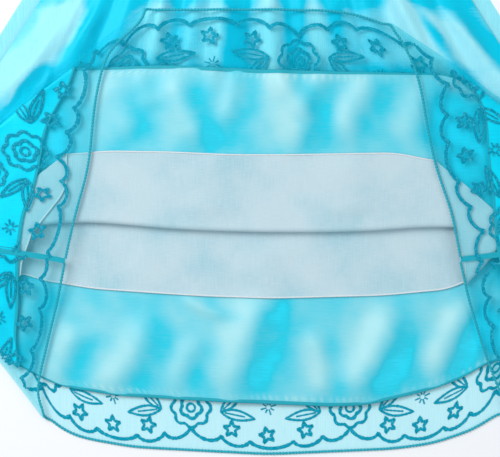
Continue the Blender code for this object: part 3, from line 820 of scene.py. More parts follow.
def sheer_cloth(colours):
    """Thin aqua cloth: light passes between its threads and takes their tint."""
    if "Sheer aqua cloth" in bpy.data.materials:
        return bpy.data.materials["Sheer aqua cloth"]
    material, tree, shader, where = start_material("Sheer aqua cloth")
    weave = use_group(tree, woven_threads(), Vector=where, Threads_per_metre=900.0,
                      Unevenness=0.5)
    tone = use_group(tree, cloth_tone(), Vector=where, Patch_size=0.035, Thread_length=0.03,
                     Thread_width=0.0012, Across=0.0)
    base = tuple(colours.sheer)
    colour = blend_colours(tree, tone.outputs["Patches"], tinted(base, 0.85), tinted(base, 1.15))
    tree.links.new(colour, shader.inputs["Base Color"])
    shader.inputs["Roughness"].default_value = 0.42
    shader.inputs["Specular IOR Level"].default_value = 0.5
    shader.inputs["Specular Tint"].default_value = (0.3, 0.9, 1.0, 1.0)
    bumped(tree, shader, weave.outputs["Height"], 0.2, 0.0002)
    drawn = ranged(tree, tone.outputs["Threads"], 0.3, 0.7, -0.03, 0.04)
    thick = ranged(tree, weave.outputs["Gaps"], 0.0, 1.0, 0.10, 0.15)
    cover = arithmetic(tree, "ADD", thick, drawn)
    clear = node(tree, "ShaderNodeBsdfTransparent", Color=(0.84, 0.99, 1.0, 1.0))
    mixed = node(tree, "ShaderNodeMixShader", i0=cover, i1=clear.outputs[0], i2=shader.outputs[0])
    tree.links.new(mixed.outputs[0], tree.nodes["Material Output"].inputs["Surface"])
    return material


def satin_cloth(colours, face):
    """Satin: its face is glossy and deep, its reverse paler and duller with drawn threads."""
    name = "Aqua satin face" if face else "Aqua satin reverse"
    if name in bpy.data.materials:
        return bpy.data.materials[name]
    material, tree, shader, where = start_material(name)
    tone = use_group(tree, cloth_tone(), Vector=where, Patch_size=0.05, Thread_length=0.018,
                     Thread_width=0.0009, Across=1.0)
    weave = use_group(tree, woven_threads(), Vector=where, Threads_per_metre=1500.0,
                      Unevenness=0.4)
    base = tuple(colours.satin_face if face else colours.satin_reverse)
    # Painted highlight and painted shade: the base colour follows the tone stored on the mesh's
    # points, so the folds, streaks and puckers painted there show as paler and deeper cloth.
    folds = node(tree, "ShaderNodeAttribute", {"attribute_name": "painted_light_and_tone"})
    patches = ranged(tree, tone.outputs["Patches"], 0.3, 0.7, -0.12, 0.12)
    threads = ranged(tree, tone.outputs["Threads"], 0.3, 0.7, -0.06, 0.06)
    pale = arithmetic(tree, "ADD", folds.outputs["Fac"], arithmetic(tree, "ADD", patches, threads))
    pale_and_highlight_colour = (0.62, 0.88, 0.93, 1.0) if face else (0.39, 0.75, 0.79, 1.0)
    share = ranged(tree, pale, 0.5 if face else 0.14, 0.95, 0.0, 1.0)
    # Painted light: where that tone is lowest, on the side triangles and under them, the colour is
    # a brighter copy of the base.
    deep = ranged(tree, pale, -0.05, 0.14, 0.0, 1.0)
    colour = blend_colours(tree, deep, tinted(base, 1.3), base + (1.0,))
    colour = blend_colours(tree, share, colour, pale_and_highlight_colour)
    tree.links.new(colour, shader.inputs["Base Color"])
    rough = ranged(tree, tone.outputs["Threads"], 0.2, 0.8, 0.28 if face else 0.4,
                   0.4 if face else 0.55)
    tree.links.new(rough, shader.inputs["Roughness"])
    shader.inputs["Specular IOR Level"].default_value = 0.45
    if face:
        shader.inputs["Specular Tint"].default_value = (0.3, 0.9, 1.0, 1.0)
    shader.inputs["Anisotropic"].default_value = 0.3
    fine = bumped(tree, shader, weave.outputs["Height"], 0.12, 0.0001)
    bumped(tree, shader, tone.outputs["Patches"], 0.35, 0.004, fine)
    return material


def petticoat_cloth(colours):
    """Thin white cloth with uneven thick threads."""
    if "White petticoat cloth" in bpy.data.materials:
        return bpy.data.materials["White petticoat cloth"]
    material, tree, shader, where = start_material("White petticoat cloth")
    upright = use_group(tree, cloth_tone(), Vector=where, Patch_size=0.06, Thread_length=0.022,
                        Thread_width=0.0011, Across=0.0)
    level = use_group(tree, cloth_tone(), Vector=where, Patch_size=0.02, Thread_length=0.010,
                      Thread_width=0.0010, Across=1.0)
    base = tuple(colours.petticoat)
    shade = (base[0] * 0.72, base[1] * 0.93, base[2] * 0.97, 1.0)
    colour = blend_colours(tree, ranged(tree, upright.outputs["Patches"], 0.3, 0.6, 0.0, 1.0),
                           shade, tinted(base, 1.05))
    slubs = arithmetic(tree, "ADD", upright.outputs["Threads"], level.outputs["Threads"])
    marks = ranged(tree, slubs, 0.8, 1.35, 0.0, 0.45)
    colour = blend_colours(tree, marks, colour, tinted(base, 1.22))
    tree.links.new(colour, shader.inputs["Base Color"])
    shader.inputs["Roughness"].default_value = 0.8
    shader.inputs["Sheen Weight"].default_value = 0.12
    shader.inputs["Specular IOR Level"].default_value = 0.3
    bumped(tree, shader, slubs, 0.2, 0.0003)
    return material


def glitter_print(colours):
    """Dark teal print with scattered glitter grains, painted lighter teal as painted glints."""
    if "Glitter print" in bpy.data.materials:
        return bpy.data.materials["Glitter print"]
    material, tree, shader, where = start_material("Glitter print")
    grains = node(tree, "ShaderNodeTexVoronoi", Vector=where, Scale=1100.0)
    pick = node(tree, "ShaderNodeSeparateColor", i0=grains.outputs["Color"])
    base = tuple(colours.print)
    # Painted glints: a random share of the grains is painted a lighter teal.
    bright = ranged(tree, pick.outputs[0], 0.72, 0.95, 0.0, 0.85)
    colour = blend_colours(tree, bright, tinted(base, 0.8), (0.06, 0.5, 0.62, 1.0))
    tree.links.new(colour, shader.inputs["Base Color"])
    tree.links.new(ranged(tree, pick.outputs[1], 0.0, 1.0, 0.2, 0.6), shader.inputs["Roughness"])
    shader.inputs["Specular IOR Level"].default_value = 0.35
    shader.inputs["Specular Tint"].default_value = (0.2, 0.8, 1.0, 1.0)
    bumped(tree, shader, pick.outputs[2], 0.25, 0.0003)
    return material


def thread(name, colour, rough=0.6):
    """Sewing thread or tape in one colour."""
    if name in bpy.data.materials:
        return bpy.data.materials[name]
    material, tree, shader, where = start_material(name)
    weave = use_group(tree, woven_threads(), Vector=where, Threads_per_metre=1100.0,
                      Unevenness=0.8)
    share = weave.outputs["Height"]
    mixed = blend_colours(tree, share, tinted(colour, 0.75), tinted(colour, 1.2))
    tree.links.new(mixed, shader.inputs["Base Color"])
    shader.inputs["Roughness"].default_value = rough
    shader.inputs["Sheen Weight"].default_value = 0.06
    bumped(tree, shader, share, 0.4, 0.0002)
    return material


def spread(count, low=-1.0, high=1.0):
    return np.linspace(low, high, count)


def front_rows(name):
    """All of a front panel: in place, the roll at the level crease, and the turned-up part."""
    columns = spread(PANEL_COLUMNS)
    if name == "petticoat":
        left, right = FOLDS[name]["left"][0], FOLDS[name]["right"][0]
        middle = 0.5 * (left + right)
        flat = middle + columns * np.where(columns > 0, right - middle, middle - left)
        heights = np.linspace(42.0, 0.0, 9)
        in_place = np.array([place(flat, y, LEVEL_FRONT[name]) for y in heights])
    else:
        column = 1 if name == "overskirt" else 2
        heights = np.concatenate([np.linspace(WAIST_Y, 40.0, 92), np.linspace(36.0, 0.0, 9)])
        in_place = np.array([place(middle_x(y) + columns * half_width(y, column), y,
                                   LEVEL_FRONT[name]) for y in heights])
    last = in_place[-1]
    high = height(last[:, 0], last[:, 1], LEVEL_TURNED[name])
    radius, centre = (high - last[:, 2]) / 2.0, (high + last[:, 2]) / 2.0
    rolled = []
    for angle in np.pi * np.arange(1, ROLL_STEPS) / ROLL_STEPS:
        rolled.append(np.stack([last[:, 0], last[:, 1] - radius * math.sin(angle),
                                centre - radius * math.cos(angle)], axis=-1))
    shares = np.concatenate([[0.0], np.linspace(0.02, 1.0, HEM_ROWS)])
    turned = apron(name, "front", columns, shares, LEVEL_TURNED[name])
    return np.concatenate([in_place, np.array(rolled)]), turned, shares


def back_rows(name):
    """A back panel's rows above the level crease, and the rows from there to its hem."""
    columns = spread(PANEL_COLUMNS)
    upper = []
    if name == "overskirt":
        for y in np.linspace(WAIST_Y, 12.0, 30):
            upper.append(place(middle_x(y) + columns * half_width(y), y, LEVEL_BACK[name]))
    else:
        left, right = FOLDS[name]["left"][0], FOLDS[name]["right"][0]
        middle = 0.5 * (left + right)
        flat = middle + columns * np.where(columns > 0, right - middle, middle - left)
        for y, inset in ((42.0, HIDDEN_INSET), (20.0, 0.97)):
            upper.append(place(middle + (flat - middle) * inset, y, LEVEL_BACK[name]))
    shares = np.concatenate([[0.0], np.linspace(0.02, 1.0, HEM_ROWS)])
    return np.array(upper), apron(name, "back", columns, shares, LEVEL_BACK[name]), shares


def skirt_panel(name, panel, object_name, materials, slot, node_name):
    """Makes one skirt panel. Returns it with its hem, the line just inside it and its seams."""
    surface = Surface()
    reverse = len(materials) - 1
    front = panel == "front"
    first, turned, shares = front_rows(name) if front else back_rows(name)
    low = LEVEL_TURNED[name] if front else LEVEL_BACK[name]
    surface.grid(np.concatenate([first, turned[:1]]), 0 if front else reverse)
    surface.grid(turned, reverse)
    splits = np.linspace(0.0, 1.0, WING_COLUMNS)
    sides = {}
    for side in ("left", "right"):
        rows = wing(name, panel, side, shares[1:], splits, low, ROLL_STEPS)
        # The side triangles are calm: little painted fold light and shade, and more painted
        # brighter cyan.
        surface.grid(rows, 0, calm=0.85)
        sides[side] = rows
    merged = surface.make(object_name, materials, slot, WELD, painted_light_and_tone)
    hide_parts(node_name)
    hem = np.concatenate([sides["left"][-1][::-1], turned[-1], sides["right"][-1]])
    inner = np.concatenate([sides["left"][-2][::-1], turned[-2], sides["right"][-2]])
    apart = np.linalg.norm(np.diff(hem, axis=0), axis=1) > 1e-4
    keep = np.concatenate([[True], apart])
    seams = {side: rows[:, -1] for side, rows in sides.items()}
    return merged, hem[keep], inner[keep], seams


def fold_print(panel, x, down):
    """Where a printed point lies. down is its distance past the level crease."""
    towards = 1.0 if panel == "front" else -1.0
    low = LEVEL_TURNED["overskirt"] if panel == "front" else LEVEL_BACK["overskirt"]
    result = place(x, towards * down, low, False, -0.35 if panel == "front" else -0.3)
    over = np.zeros(x.shape, int)
    for number, side in ((1, "left"), (2, "right")):
        tip, _, towards, along, away = crease_lines("overskirt", panel, side)
        step_x, step_y = x - tip, towards * down
        outside = step_x * away[0] + step_y * away[1] > 0.0
        outside &= (x < 0) if side == "left" else (x > 0)
        beyond = outside & ((x < tip) if side == "left" else (x > tip))
        forward = step_x * along[0] + step_y * along[1]
        new_x = tip + 2.0 * forward * along[0] - step_x
        new_y = 2.0 * forward * along[1] - step_y
        wing_place = place(new_x, new_y, LEVEL_WING["overskirt"], True, 0.4)
        result = np.where(outside[..., None], wing_place, result)
        over = np.where(outside, number, over)
        over = np.where(beyond, 9, over)
    return result, over


def print_line(surface, panel, line, width, closed=False):
    """One printed stroke. line holds pairs: place across, distance from the hem."""
    line = np.asarray(line, float)
    if closed:
        line = np.concatenate([line, line[:1]])
    solid = np.concatenate([line, np.zeros((len(line), 1))], axis=1)
    points = spaced(solid, 1.6)[:, :2]
    if closed:
        points[-1] = points[0]
        wrapped = np.concatenate([points[-2:-1], points, points[1:2]])
        ahead = (wrapped[2:] - wrapped[:-2])
    else:
        ahead = np.gradient(points, axis=0)
    ahead /= np.maximum(np.linalg.norm(ahead, axis=1), 1e-9)[:, None]
    side = np.stack([-ahead[:, 1], ahead[:, 0]], axis=-1)
    uneven = 1.0 + 0.13 * np.sin(points[:, 0] * 1.9 + points[:, 1] * 2.7)
    uneven += 0.12 * np.sin(points[:, 0] * 47.0 + points[:, 1] * 61.0)
    half = 0.5 * width * uneven[:, None]
    strip = np.stack([points - side * half, points, points + side * half], axis=1)
    hem = from_table(HEMS["overskirt_" + panel], np.clip(strip[..., 0], -406.0, 438.0))
    down = hem - strip[..., 1]
    placed, over = fold_print(panel, strip[..., 0], down)
    placed[:, 1, 2] += np.where(over[:, 1] > 0, 0.12, -0.1)
    corners = np.stack([over[:-1, :-1], over[:-1, 1:], over[1:, 1:], over[1:, :-1]], axis=-1)
    keep = (corners == corners[..., :1]).all(axis=-1) & (corners[..., 0] < 9)
    keep &= down[:-1, :-1] > 4.0
    surface.grid(placed, 0, keep=keep)


def ring(centre, radius, waves=0, wave=0.0, turn=0.0, count=48):
    """Points round a centre, plain or with petals."""
    angle = np.linspace(0.0, 2.0 * np.pi, count, endpoint=False)
    reach = np.full(count, radius)
    if waves:
        reach = radius * (1.0 + wave * (np.abs(np.cos(0.5 * waves * angle + turn)) - 0.6))
    return np.stack([centre[0] + reach * np.cos(angle), centre[1] + reach * np.sin(angle)],
                    axis=-1)


def flower(surface, panel, x, off, size, sizes):
    """Three lines one in another: eight petals, five petals and a ring."""
    turn = 0.7 * math.sin(x)
    width = sizes.print_width
    print_line(surface, panel, ring((x, off), size, 8, 0.2, turn), width, True)
    print_line(surface, panel, ring((x, off), size * 0.54, 5, 0.24, turn + 0.5), width * 1.15,
               True)
    print_line(surface, panel, ring((x, off), size * 0.22), width * 0.8, True)


def star(surface, panel, x, off, size, sizes):
    """The outline of a star with five points, each turned a little its own way."""
    turn = 0.4 * math.sin(x * 0.7)
    corners = []
    for k in range(10):
        reach = size * (1.0 if k % 2 == 0 else 0.42)
        angle = turn + math.pi / 2.0 + k * math.pi / 5.0
        corners.append((x + reach * math.cos(angle), off + reach * math.sin(angle)))
    print_line(surface, panel, corners, sizes.print_width * 0.95, True)


def leaf(surface, panel, stem, tip, width, sizes):
    """A leaf's outline and its vein."""
    stem, tip = np.array(stem, float), np.array(tip, float)
    along = tip - stem
    side = np.array([-along[1], along[0]]) / np.linalg.norm(along)
    share = np.linspace(0.0, 1.0, 12)
    belly = width * np.sin(np.pi * share ** 0.85)
    upper = stem + share[:, None] * along + belly[:, None] * side
    lower = stem + share[:, None] * along - belly[:, None] * side
    outline = np.concatenate([upper, lower[-2:0:-1]])
    print_line(surface, panel, outline, sizes.print_width * 0.8, True)
    vein = stem + np.linspace(0.12, 0.7, 6)[:, None] * along
    print_line(surface, panel, vein, sizes.print_width * 0.55)


def sprig(surface, panel, x, off, sizes):
    """Two leaves on each side of a flower."""
    for way in (-1.0, 1.0):
        stem = (x + way * LEAF_STEM[0], off + LEAF_STEM[1])
        for across, away, width in LEAVES:
            leaf(surface, panel, stem, (x + way * across, off + away), width, sizes)


def rays(surface, panel, x, off, size, sizes):
    """Eight short strokes round a point."""
    for k in range(8):
        angle = k * math.pi / 4.0 + 0.3
        reach = size * (1.0 if k % 2 == 0 else 0.8)
        line = [(x + r * math.cos(angle), off + r * math.sin(angle))
                for r in (0.28 * size, 0.6 * reach, reach)]
        print_line(surface, panel, line, sizes.print_width * 0.5)


def print_repeat(surface, panel, start, end, sizes):
    """One repeat of the border: a lobed line, a flower with its leaves, stars and rays."""
    wide = end - start

    def off(x, share=1.0):
        return share * float(from_table(STAND_OFF[panel], min(max(x, -406.0), 406.0), 1, 30.0))

    line = []
    for (share, away, bulge), (nxt, next_away, _) in zip(SCALLOPS[:-1], SCALLOPS[1:]):
        for k in np.linspace(0.0, 1.0, 12, endpoint=False):
            x = start + wide * (share + (nxt - share) * k)
            v = away + (next_away - away) * k - bulge * (4.0 * k * (1.0 - k)) ** 0.7
            line.append((x, v + off(x, 0.5)))
    line.append((end, SCALLOPS[-1][1] + off(end, 0.5)))
    print_line(surface, panel, line, sizes.print_width * 1.15)
    for share, away in STARS:
        x = start + wide * share
        star(surface, panel, x, away + off(x), sizes.star_radius, sizes)
    x = start + RAYS_SHARE * wide
    rays(surface, panel, x, RAYS_OFF + off(x), RAYS_RADIUS, sizes)
    flower(surface, panel, start, FLOWER_OFF + off(start), sizes.flower_radius, sizes)
    sprig(surface, panel, start, FLOWER_OFF + off(start), sizes)


def bodice_grid(neck_y):
    """Rows of a whole bodice panel below its straps, then the two straps."""
    top = neck_y + NECK_ROUND
    outer = np.linspace(1.0, 0.1, 12)
    inner = np.linspace(1.0, -1.0, 29)
    rows = []
    for share in np.linspace(0.0, 1.0, 44):
        wide = float(from_table(BODICE_SIDE, share * top, 1, 8.0))
        strap = wide * outer + NECK_HALF * (1.0 - outer)
        x = np.concatenate([-strap, -NECK_HALF * inner, strap[::-1]])
        middle_y = share * (neck_y + NECK_ROUND * inner ** 2)
        edge = np.full(len(outer), share * top)
        rows.append(np.stack([x, np.concatenate([edge, middle_y, edge])], axis=-1))
    straps = []
    for share in np.linspace(0.0, 1.0, 13):
        y = top + share * (SHOULDER_Y - WAIST_Y - top)
        wide = float(from_table(BODICE_SIDE, y, 1, 8.0))
        neck = NECK_HALF + 4.0 * math.sin(share * 1.5)
        x = neck + (wide - neck) * np.concatenate([outer, [0.0]])
        straps.append(np.stack([x, np.full(len(x), y)], axis=-1))
    return np.array(rows), np.array(straps), len(outer), len(inner)


def bodice_front_place(flat):
    """The bodice front as it lies: over the skirt's gathers at the waist, low at the straps."""
    x, y = flat[..., 0], flat[..., 1] + WAIST_Y + 0.9
    share = np.clip((SHOULDER_Y - y) / 60.0, 0.0, 1.0)
    low = FLOOR_Z + 0.5 + 0.6 + 0.35
    z = height(x, y, LEVEL_FRONT["overskirt"] + 1) - PITCH
    z = np.maximum(low + (z - low) * (2.0 * share - share * share), low)
    return np.stack([x, y, z], axis=-1)


def bodice_back_place(flat, side):
    """A back half on the floor. The left one rises to lie over the closure."""
    x, y = flat[..., 0], flat[..., 1] + WAIST_Y + 0.9
    half = CLOSURE_WIDTH / 2.0 + 2.0
    step = 2.0 * FLOOR_Z + CLOSURE_WALL + 0.8
    z = np.full(x.shape, FLOOR_Z)
    if side == "left":
        z = z + step * smooth(1.0 - (-x - half) / 15.0)
    return np.stack([x, y, z], axis=-1)


class DressSizes(bpy.types.PropertyGroup):
    """Sizes of the dress's sewn and printed details."""

    hem_roll: FloatProperty(
        name="Rolled hem radius", description="Radius of the rolled hems",
        default=0.00135, unit="LENGTH")
    overlock_reach: FloatProperty(
        name="Overlocked edge width", description="Width of the overlocked edges of the satin",
        default=0.0036, unit="LENGTH")
    print_width_m: FloatProperty(
        name="Print line width", description="Width of the printed lines",
        default=0.0033, unit="LENGTH")
    star_radius_m: FloatProperty(
        name="Star radius", description="Radius of the printed stars",
        default=0.0096, unit="LENGTH")
    flower_radius_m: FloatProperty(
        name="Flower radius", description="Radius of the printed flowers",
        default=0.0205, unit="LENGTH")
    binding_radius: FloatProperty(
        name="Binding radius", description="Radius of the bound edges of the bodice",
        default=0.0013, unit="LENGTH")

    @property
    def print_width(self):
        return self.print_width_m / METRE

    @property
    def star_radius(self):
        return self.star_radius_m / METRE

    @property
    def flower_radius(self):
        return self.flower_radius_m / METRE


class DressColours(bpy.types.PropertyGroup):
    """Colours of the cloths, the print and the threads."""

    sheer: FloatVectorProperty(
        name="Sheer cloth", description="Colour of the overskirt's threads",
        default=(0.002, 0.72, 0.92), subtype="COLOR")
    satin_face: FloatVectorProperty(
        name="Satin face", description="Colour of the satin's glossy side",
        default=(0.002, 0.62, 0.82), subtype="COLOR")
    satin_reverse: FloatVectorProperty(
        name="Satin reverse", description="Colour of the satin's dull side",
        default=(0.002, 0.60, 0.77), subtype="COLOR")
    petticoat: FloatVectorProperty(
        name="Petticoat", description="Colour of the petticoat cloth",
        default=(0.50, 0.64, 0.69), subtype="COLOR")
    print: FloatVectorProperty(
        name="Print", description="Colour of the glitter print",
        default=(0.0, 0.34, 0.50), subtype="COLOR")
    teal_thread: FloatVectorProperty(
        name="Teal thread", description="Colour of the hem threads",
        default=(0.0, 0.42, 0.53), subtype="COLOR")
    white_thread: FloatVectorProperty(
        name="White thread", description="Colour of the petticoat's hem thread",
        default=(0.78, 0.82, 0.85), subtype="COLOR")


class DRESS_OT_overskirt(bpy.types.Operator):
    """Makes the sheer overskirt, front and back, with its rolled hems and side seams"""

    bl_idname = "dress.overskirt"
    bl_label = "Overskirt"

    def execute(self, context):
        colours, sizes = context.scene.dress_colours, context.scene.dress_sizes
        sheer = sheer_cloth(colours)
        front = skirt_panel("overskirt", "front", "sheer_front", [sheer], "sheer_cloth",
                            "overskirt_front")
        back = skirt_panel("overskirt", "back", "sheer_back", [sheer], "sheer_cloth",
                           "overskirt_back")
        teal = thread("Teal hem thread", tuple(colours.teal_thread))
        radius = sizes.hem_roll / METRE
        for name, found in (("front", front), ("back", back)):
            surface = Surface()
            line = eased(spaced(found[1], 0.9), HEM_EASE)
            line[:, 2] = np.maximum(line[:, 2], radius * 0.8 + 0.05)
            tube(surface, line, radius, 6, 0.34, 4)
            surface.make("sheer_hem_" + name, [teal], "sheer_cloth")
        surface = Surface()
        for side in ("left", "right"):
            line = front[3][side]
            above = spaced(line + np.array([0.0, SEAM_HALF, -SEAM_SINK]), 1.1)
            below = spaced(line + np.array([0.0, -SEAM_HALF, -SEAM_SINK]), 1.1)
            count = min(len(above), len(below))
            rib = np.where(np.arange(count) % 2 == 0, SEAM_RIB, -SEAM_RIB)
            shift = np.stack([np.zeros(count), np.zeros(count), rib], axis=-1)
            rows = [above[:count] * (1 - share) + below[:count] * share + shift
                    for share in (0.0, 0.33, 0.66, 1.0)]
            surface.grid(np.stack(rows, axis=1))
        surface.make("sheer_side_seams", [teal], "sheer_cloth")
        return {"FINISHED"}


class DRESS_OT_satin_skirt(bpy.types.Operator):
    """Makes the satin skirt, front and back, with its overlocked hems"""

    bl_idname = "dress.satin_skirt"
    bl_label = "Satin skirt"

    def execute(self, context):
        colours, sizes = context.scene.dress_colours, context.scene.dress_sizes
        both = [satin_cloth(colours, True), satin_cloth(colours, False)]
        front = skirt_panel("satin", "front", "satin_skirt_front", both, "satin_cloth",
                            "satin_front")
        back = skirt_panel("satin", "back", "satin_skirt_back", both, "satin_cloth",
                           "satin_back")
        teal = thread("Teal hem thread", tuple(colours.teal_thread))
        for name, found in (("front", front), ("back", back)):
            surface = Surface()
            overlocked_edge(surface, found[1], found[2], sizes.overlock_reach / METRE, 0.45)
            surface.make("satin_hem_" + name, [teal], "satin_cloth")
        surface = Surface()
        for side in ("left", "right"):
            line = spaced(front[3][side], 1.0)
            tube(surface, line, 0.5, 6, 0.2, 3)
        surface.make("satin_side_seams", [teal], "satin_cloth")
        return {"FINISHED"}


def make_inner_layers(white):
    """The layers hidden inside the skirt as one closed form, just under the satin front."""
    columns = spread(120) * INNER_WIDTH
    top = []
    for y in np.linspace(WAIST_Y - 1.0, INNER_LOW_Y, 60):
        row = place(middle_x(y) + columns * half_width(y), y, LEVEL_FRONT["satin"])
        row[:, 2] = np.maximum(row[:, 2] - INNER_GAP, FLOOR_Z + INNER_GAP)
        top.append(row)
    top = np.array(top)
    floor = top.copy()
    floor[..., 2] = FLOOR_Z + 0.9
    surface = Surface()
    surface.grid(top)
    surface.grid(floor[:, ::-1])
    for edge, base in ((top[0], floor[0]), (top[-1], floor[-1]), (top[:, 0], floor[:, 0]),
                       (top[:, -1], floor[:, -1])):
        surface.grid(np.stack([edge, base]))
    core = surface.make("folded_inner_layers", [white], "white_cloth", WELD)
    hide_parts("folded_core")


class DRESS_OT_petticoat(bpy.types.Operator):
    """Makes the white petticoat, front and back, with its narrow rolled hems"""

    bl_idname = "dress.petticoat"
    bl_label = "Petticoat"

    def execute(self, context):
        colours = context.scene.dress_colours
        white = petticoat_cloth(colours)
        front = skirt_panel("petticoat", "front", "petticoat_skirt_front", [white],
                            "white_cloth", "petticoat_front")
        back = skirt_panel("petticoat", "back", "petticoat_skirt_back", [white],
                           "white_cloth", "petticoat_back")
        hem_thread = thread("White hem thread", tuple(colours.white_thread), 0.7)
        for name, found in (("front", front), ("back", back)):
            surface = Surface()
            tube(surface, spaced(found[1], 0.9), 0.9, 6, 0.15, 3)
            surface.make("petticoat_hem_" + name, [hem_thread], "white_cloth")
        make_inner_layers(white)
        return {"FINISHED"}


class DRESS_OT_glitter_border(bpy.types.Operator):
    """Makes the printed border of the overskirt: lobed line, flowers, leaves, stars and rays"""

    bl_idname = "dress.glitter_border"
    bl_label = "Glitter border"

    def execute(self, context):
        colours, sizes = context.scene.dress_colours, context.scene.dress_sizes
        glitter = glitter_print(colours)
        for panel in ("front", "back"):
            surface = Surface()
            points = SCALLOP_POINTS[panel]
            for start, end in zip(points[:-1], points[1:]):
                print_repeat(surface, panel, start, end, sizes)
            for where, x, off in SECOND_ROW:
                if where == panel:
                    flower(surface, panel, x, off, sizes.flower_radius * 0.8, sizes)
            surface.make("border_print_" + panel, [glitter], "sheer_cloth")
        return {"FINISHED"}


def make_bodice_front(face, edges, sewn, radius):
    """The whole front panel with its straps, bound neck and armholes, and its waist seam."""
    rows, straps, outer, inner = bodice_grid(NECK_FRONT_Y)
    surface = Surface()
    lower = bodice_front_place(rows)
    right = bodice_front_place(straps)
    left = bodice_front_place(straps * np.array([-1.0, 1.0]))
    for part in (lower, right, left):
        surface.grid(part)
    front = surface.make("bodice_front_cloth", [face], "satin_cloth", WELD, painted_light_and_tone)
    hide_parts("bodice_front")
    neck = np.concatenate([left[::-1, -1], lower[-1, outer:outer + inner], right[:, -1]])
    tube(edges, spaced(neck, 1.2), radius, 8)
    stitches(sewn, spaced(neck, 3.0) + np.array([0.0, 0.0, 1.2]), 2.2, 1.4, 0.3)
    for strap, side in ((left, 0), (right, -1)):
        arm_rows = [k for k in range(len(rows)) if rows[k, 0, 1] >= UNDERARM]
        arm = np.concatenate([lower[arm_rows, side], strap[:, 0]])
        tube(edges, spaced(arm, 1.2), radius, 8)
    waist = lower[0] + np.array([0.0, -0.4, 0.2])
    tube(edges, spaced(waist, 1.0), 1.1, 8, 0.12, 4)


def make_bodice_back(side, reverse, edges, radius):
    """One back half, which laps over the other at the closure, with its bound neck."""
    rows, straps, outer, _ = bodice_grid(NECK_BACK_Y)
    half = CLOSURE_WIDTH / 2.0 + 2.0
    flat = []
    for row in rows:
        centre = float(np.interp(0.0, row[:, 0], row[:, 1]))
        if side == "left":
            kept = [tuple(p) for p in row if p[0] < -half - 15.0]
            kept += [(x, centre) for x in np.linspace(-half - 12.0, half, 9)]
        else:
            kept = [(-half, centre), (0.0, centre), (half, centre)]
            kept += [tuple(p) for p in row if p[0] > half + 4.0]
        flat.append(kept)
    mirror = np.array([-1.0 if side == "left" else 1.0, 1.0])
    lower = bodice_back_place(np.array(flat), side)
    strap = bodice_back_place(straps * mirror, side)
    surface = Surface()
    surface.grid(lower)
    surface.grid(strap)
    cloth = surface.make("bodice_back_cloth_" + side, [reverse], "satin_cloth", WELD, painted_light_and_tone)
    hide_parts("bodice_back_" + side)
    top = lower[-1] if side == "left" else lower[-1, ::-1]
    neck = np.concatenate([strap[::-1, -1], top[outer:]])
    tube(edges, spaced(neck, 1.2) + np.array([0.0, 0.0, 0.5]), radius * 0.8, 8)
    shoulder = strap[-1] + np.array([0.0, 0.0, 0.7])
    tube(edges, spaced(shoulder, 1.2), 1.1, 8)


class DRESS_OT_bodice(bpy.types.Operator):
    """Makes the plain satin bodice: front, two back halves, bound edges and closure"""

    bl_idname = "dress.bodice"
    bl_label = "Bodice"

    def execute(self, context):
        colours, sizes = context.scene.dress_colours, context.scene.dress_sizes
        face, reverse = satin_cloth(colours, True), satin_cloth(colours, False)
        binding = thread("Satin binding", tuple(colours.satin_face), 0.35)
        teal = thread("Teal hem thread", tuple(colours.teal_thread))
        radius = sizes.binding_radius / METRE
        edges, sewn = Surface(), Surface()
        make_bodice_front(face, edges, sewn, radius)
        for side in ("left", "right"):
            make_bodice_back(side, reverse, edges, radius)
        edges.make("bodice_bound_edges", [binding], "satin_cloth")
        sewn.make("bodice_topstitching", [teal], "satin_cloth")
        tape = thread("Closure tape", (0.8, 0.86, 0.88), 0.9)
        bpy.data.objects["back_closure"].material_slots[0].material = tape
        return {"FINISHED"}


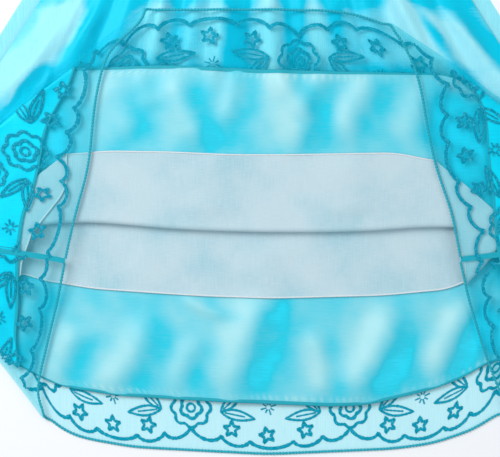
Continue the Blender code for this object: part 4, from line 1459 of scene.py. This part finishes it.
class DRESS_OT_stage(bpy.types.Operator):
    """Sets the pale floor, the studio light and the camera"""

    bl_idname = "dress.stage"
    bl_label = "Stage"

    def execute(self, context):
        mesh = bpy.data.meshes.new("pale_floor")
        corners = [(x * FLOOR_HALF, y * FLOOR_HALF, 0)
                   for x, y in ((-1, -1), (1, -1), (1, 1), (-1, 1))]
        mesh.from_pydata(corners, [], [(0, 1, 2, 3)])
        floor = bpy.data.objects.new("pale_floor", mesh)
        context.scene.collection.objects.link(floor)
        material, tree, shader, where = start_material("Pale floor")
        tone = use_group(tree, cloth_tone(), Vector=where, Patch_size=0.6)
        colour = blend_colours(tree, tone.outputs["Patches"], (0.94, 0.94, 0.95, 1.0),
                               (0.96, 0.96, 0.97, 1.0))
        tree.links.new(colour, shader.inputs["Base Color"])
        shader.inputs["Roughness"].default_value = 0.9
        shader.inputs["Specular IOR Level"].default_value = 0.2
        mesh.materials.append(material)

        world = bpy.data.worlds.new("Soft room")
        world.use_nodes = True
        world.node_tree.nodes["Background"].inputs[0].default_value = (0.88, 0.94, 1.0, 1.0)
        world.node_tree.nodes["Background"].inputs[1].default_value = 0.54
        context.scene.world = world
        for name, at, size, power in LAMPS:
            lamp = bpy.data.lights.new(name, "AREA")
            lamp.size = size
            lamp.energy = power
            thing = bpy.data.objects.new(name, lamp)
            thing.location = at
            away = np.array(LAMP_AIM) - np.array(at)
            flat = math.hypot(away[0], away[1])
            thing.rotation_euler = (math.atan2(flat, -away[2]), 0.0,
                                    math.atan2(away[1], away[0]) - math.pi / 2.0)
            context.scene.collection.objects.link(thing)

        lens = bpy.data.cameras.new("Camera")
        lens.sensor_width = SENSOR
        lens.lens = SENSOR * (CAMERA_HEIGHT - DRESS_HEIGHT) / PHOTO_WIDTH
        camera = bpy.data.objects.new("Camera", lens)
        camera.location = (PHOTO_CENTRE[0], PHOTO_CENTRE[1], CAMERA_HEIGHT)
        context.scene.collection.objects.link(camera)
        context.scene.camera = camera
        context.scene.view_settings.view_transform = "Standard"
        return {"FINISHED"}


class DRESS_PT_panel(bpy.types.Panel):
    """Lists the sizes, the colours and the steps that build the dress"""

    bl_idname = "DRESS_PT_panel"
    bl_label = "Costume dress"
    bl_space_type = "VIEW_3D"
    bl_region_type = "UI"
    bl_category = "Dress"

    def draw(self, context):
        layout = self.layout
        for group in (context.scene.dress_sizes, context.scene.dress_colours):
            box = layout.box()
            for name in group.__annotations__:
                box.prop(group, name)
        for step in STEPS:
            layout.operator(step.bl_idname)


STEPS = (DRESS_OT_overskirt, DRESS_OT_satin_skirt, DRESS_OT_petticoat, DRESS_OT_glitter_border,
         DRESS_OT_bodice, DRESS_OT_stage)
CLASSES = (DressSizes, DressColours) + STEPS + (DRESS_PT_panel,)


def register():
    for kind in CLASSES:
        bpy.utils.register_class(kind)
    bpy.types.Scene.dress_sizes = PointerProperty(type=DressSizes)
    bpy.types.Scene.dress_colours = PointerProperty(type=DressColours)


def unregister():
    del bpy.types.Scene.dress_colours
    del bpy.types.Scene.dress_sizes
    for kind in reversed(CLASSES):
        bpy.utils.unregister_class(kind)


def main():
    register()
    bpy.ops.dress.overskirt()
    bpy.ops.dress.satin_skirt()
    bpy.ops.dress.petticoat()
    bpy.ops.dress.glitter_border()
    bpy.ops.dress.bodice()
    bpy.ops.dress.stage()


if __name__ == "__main__":
    main()
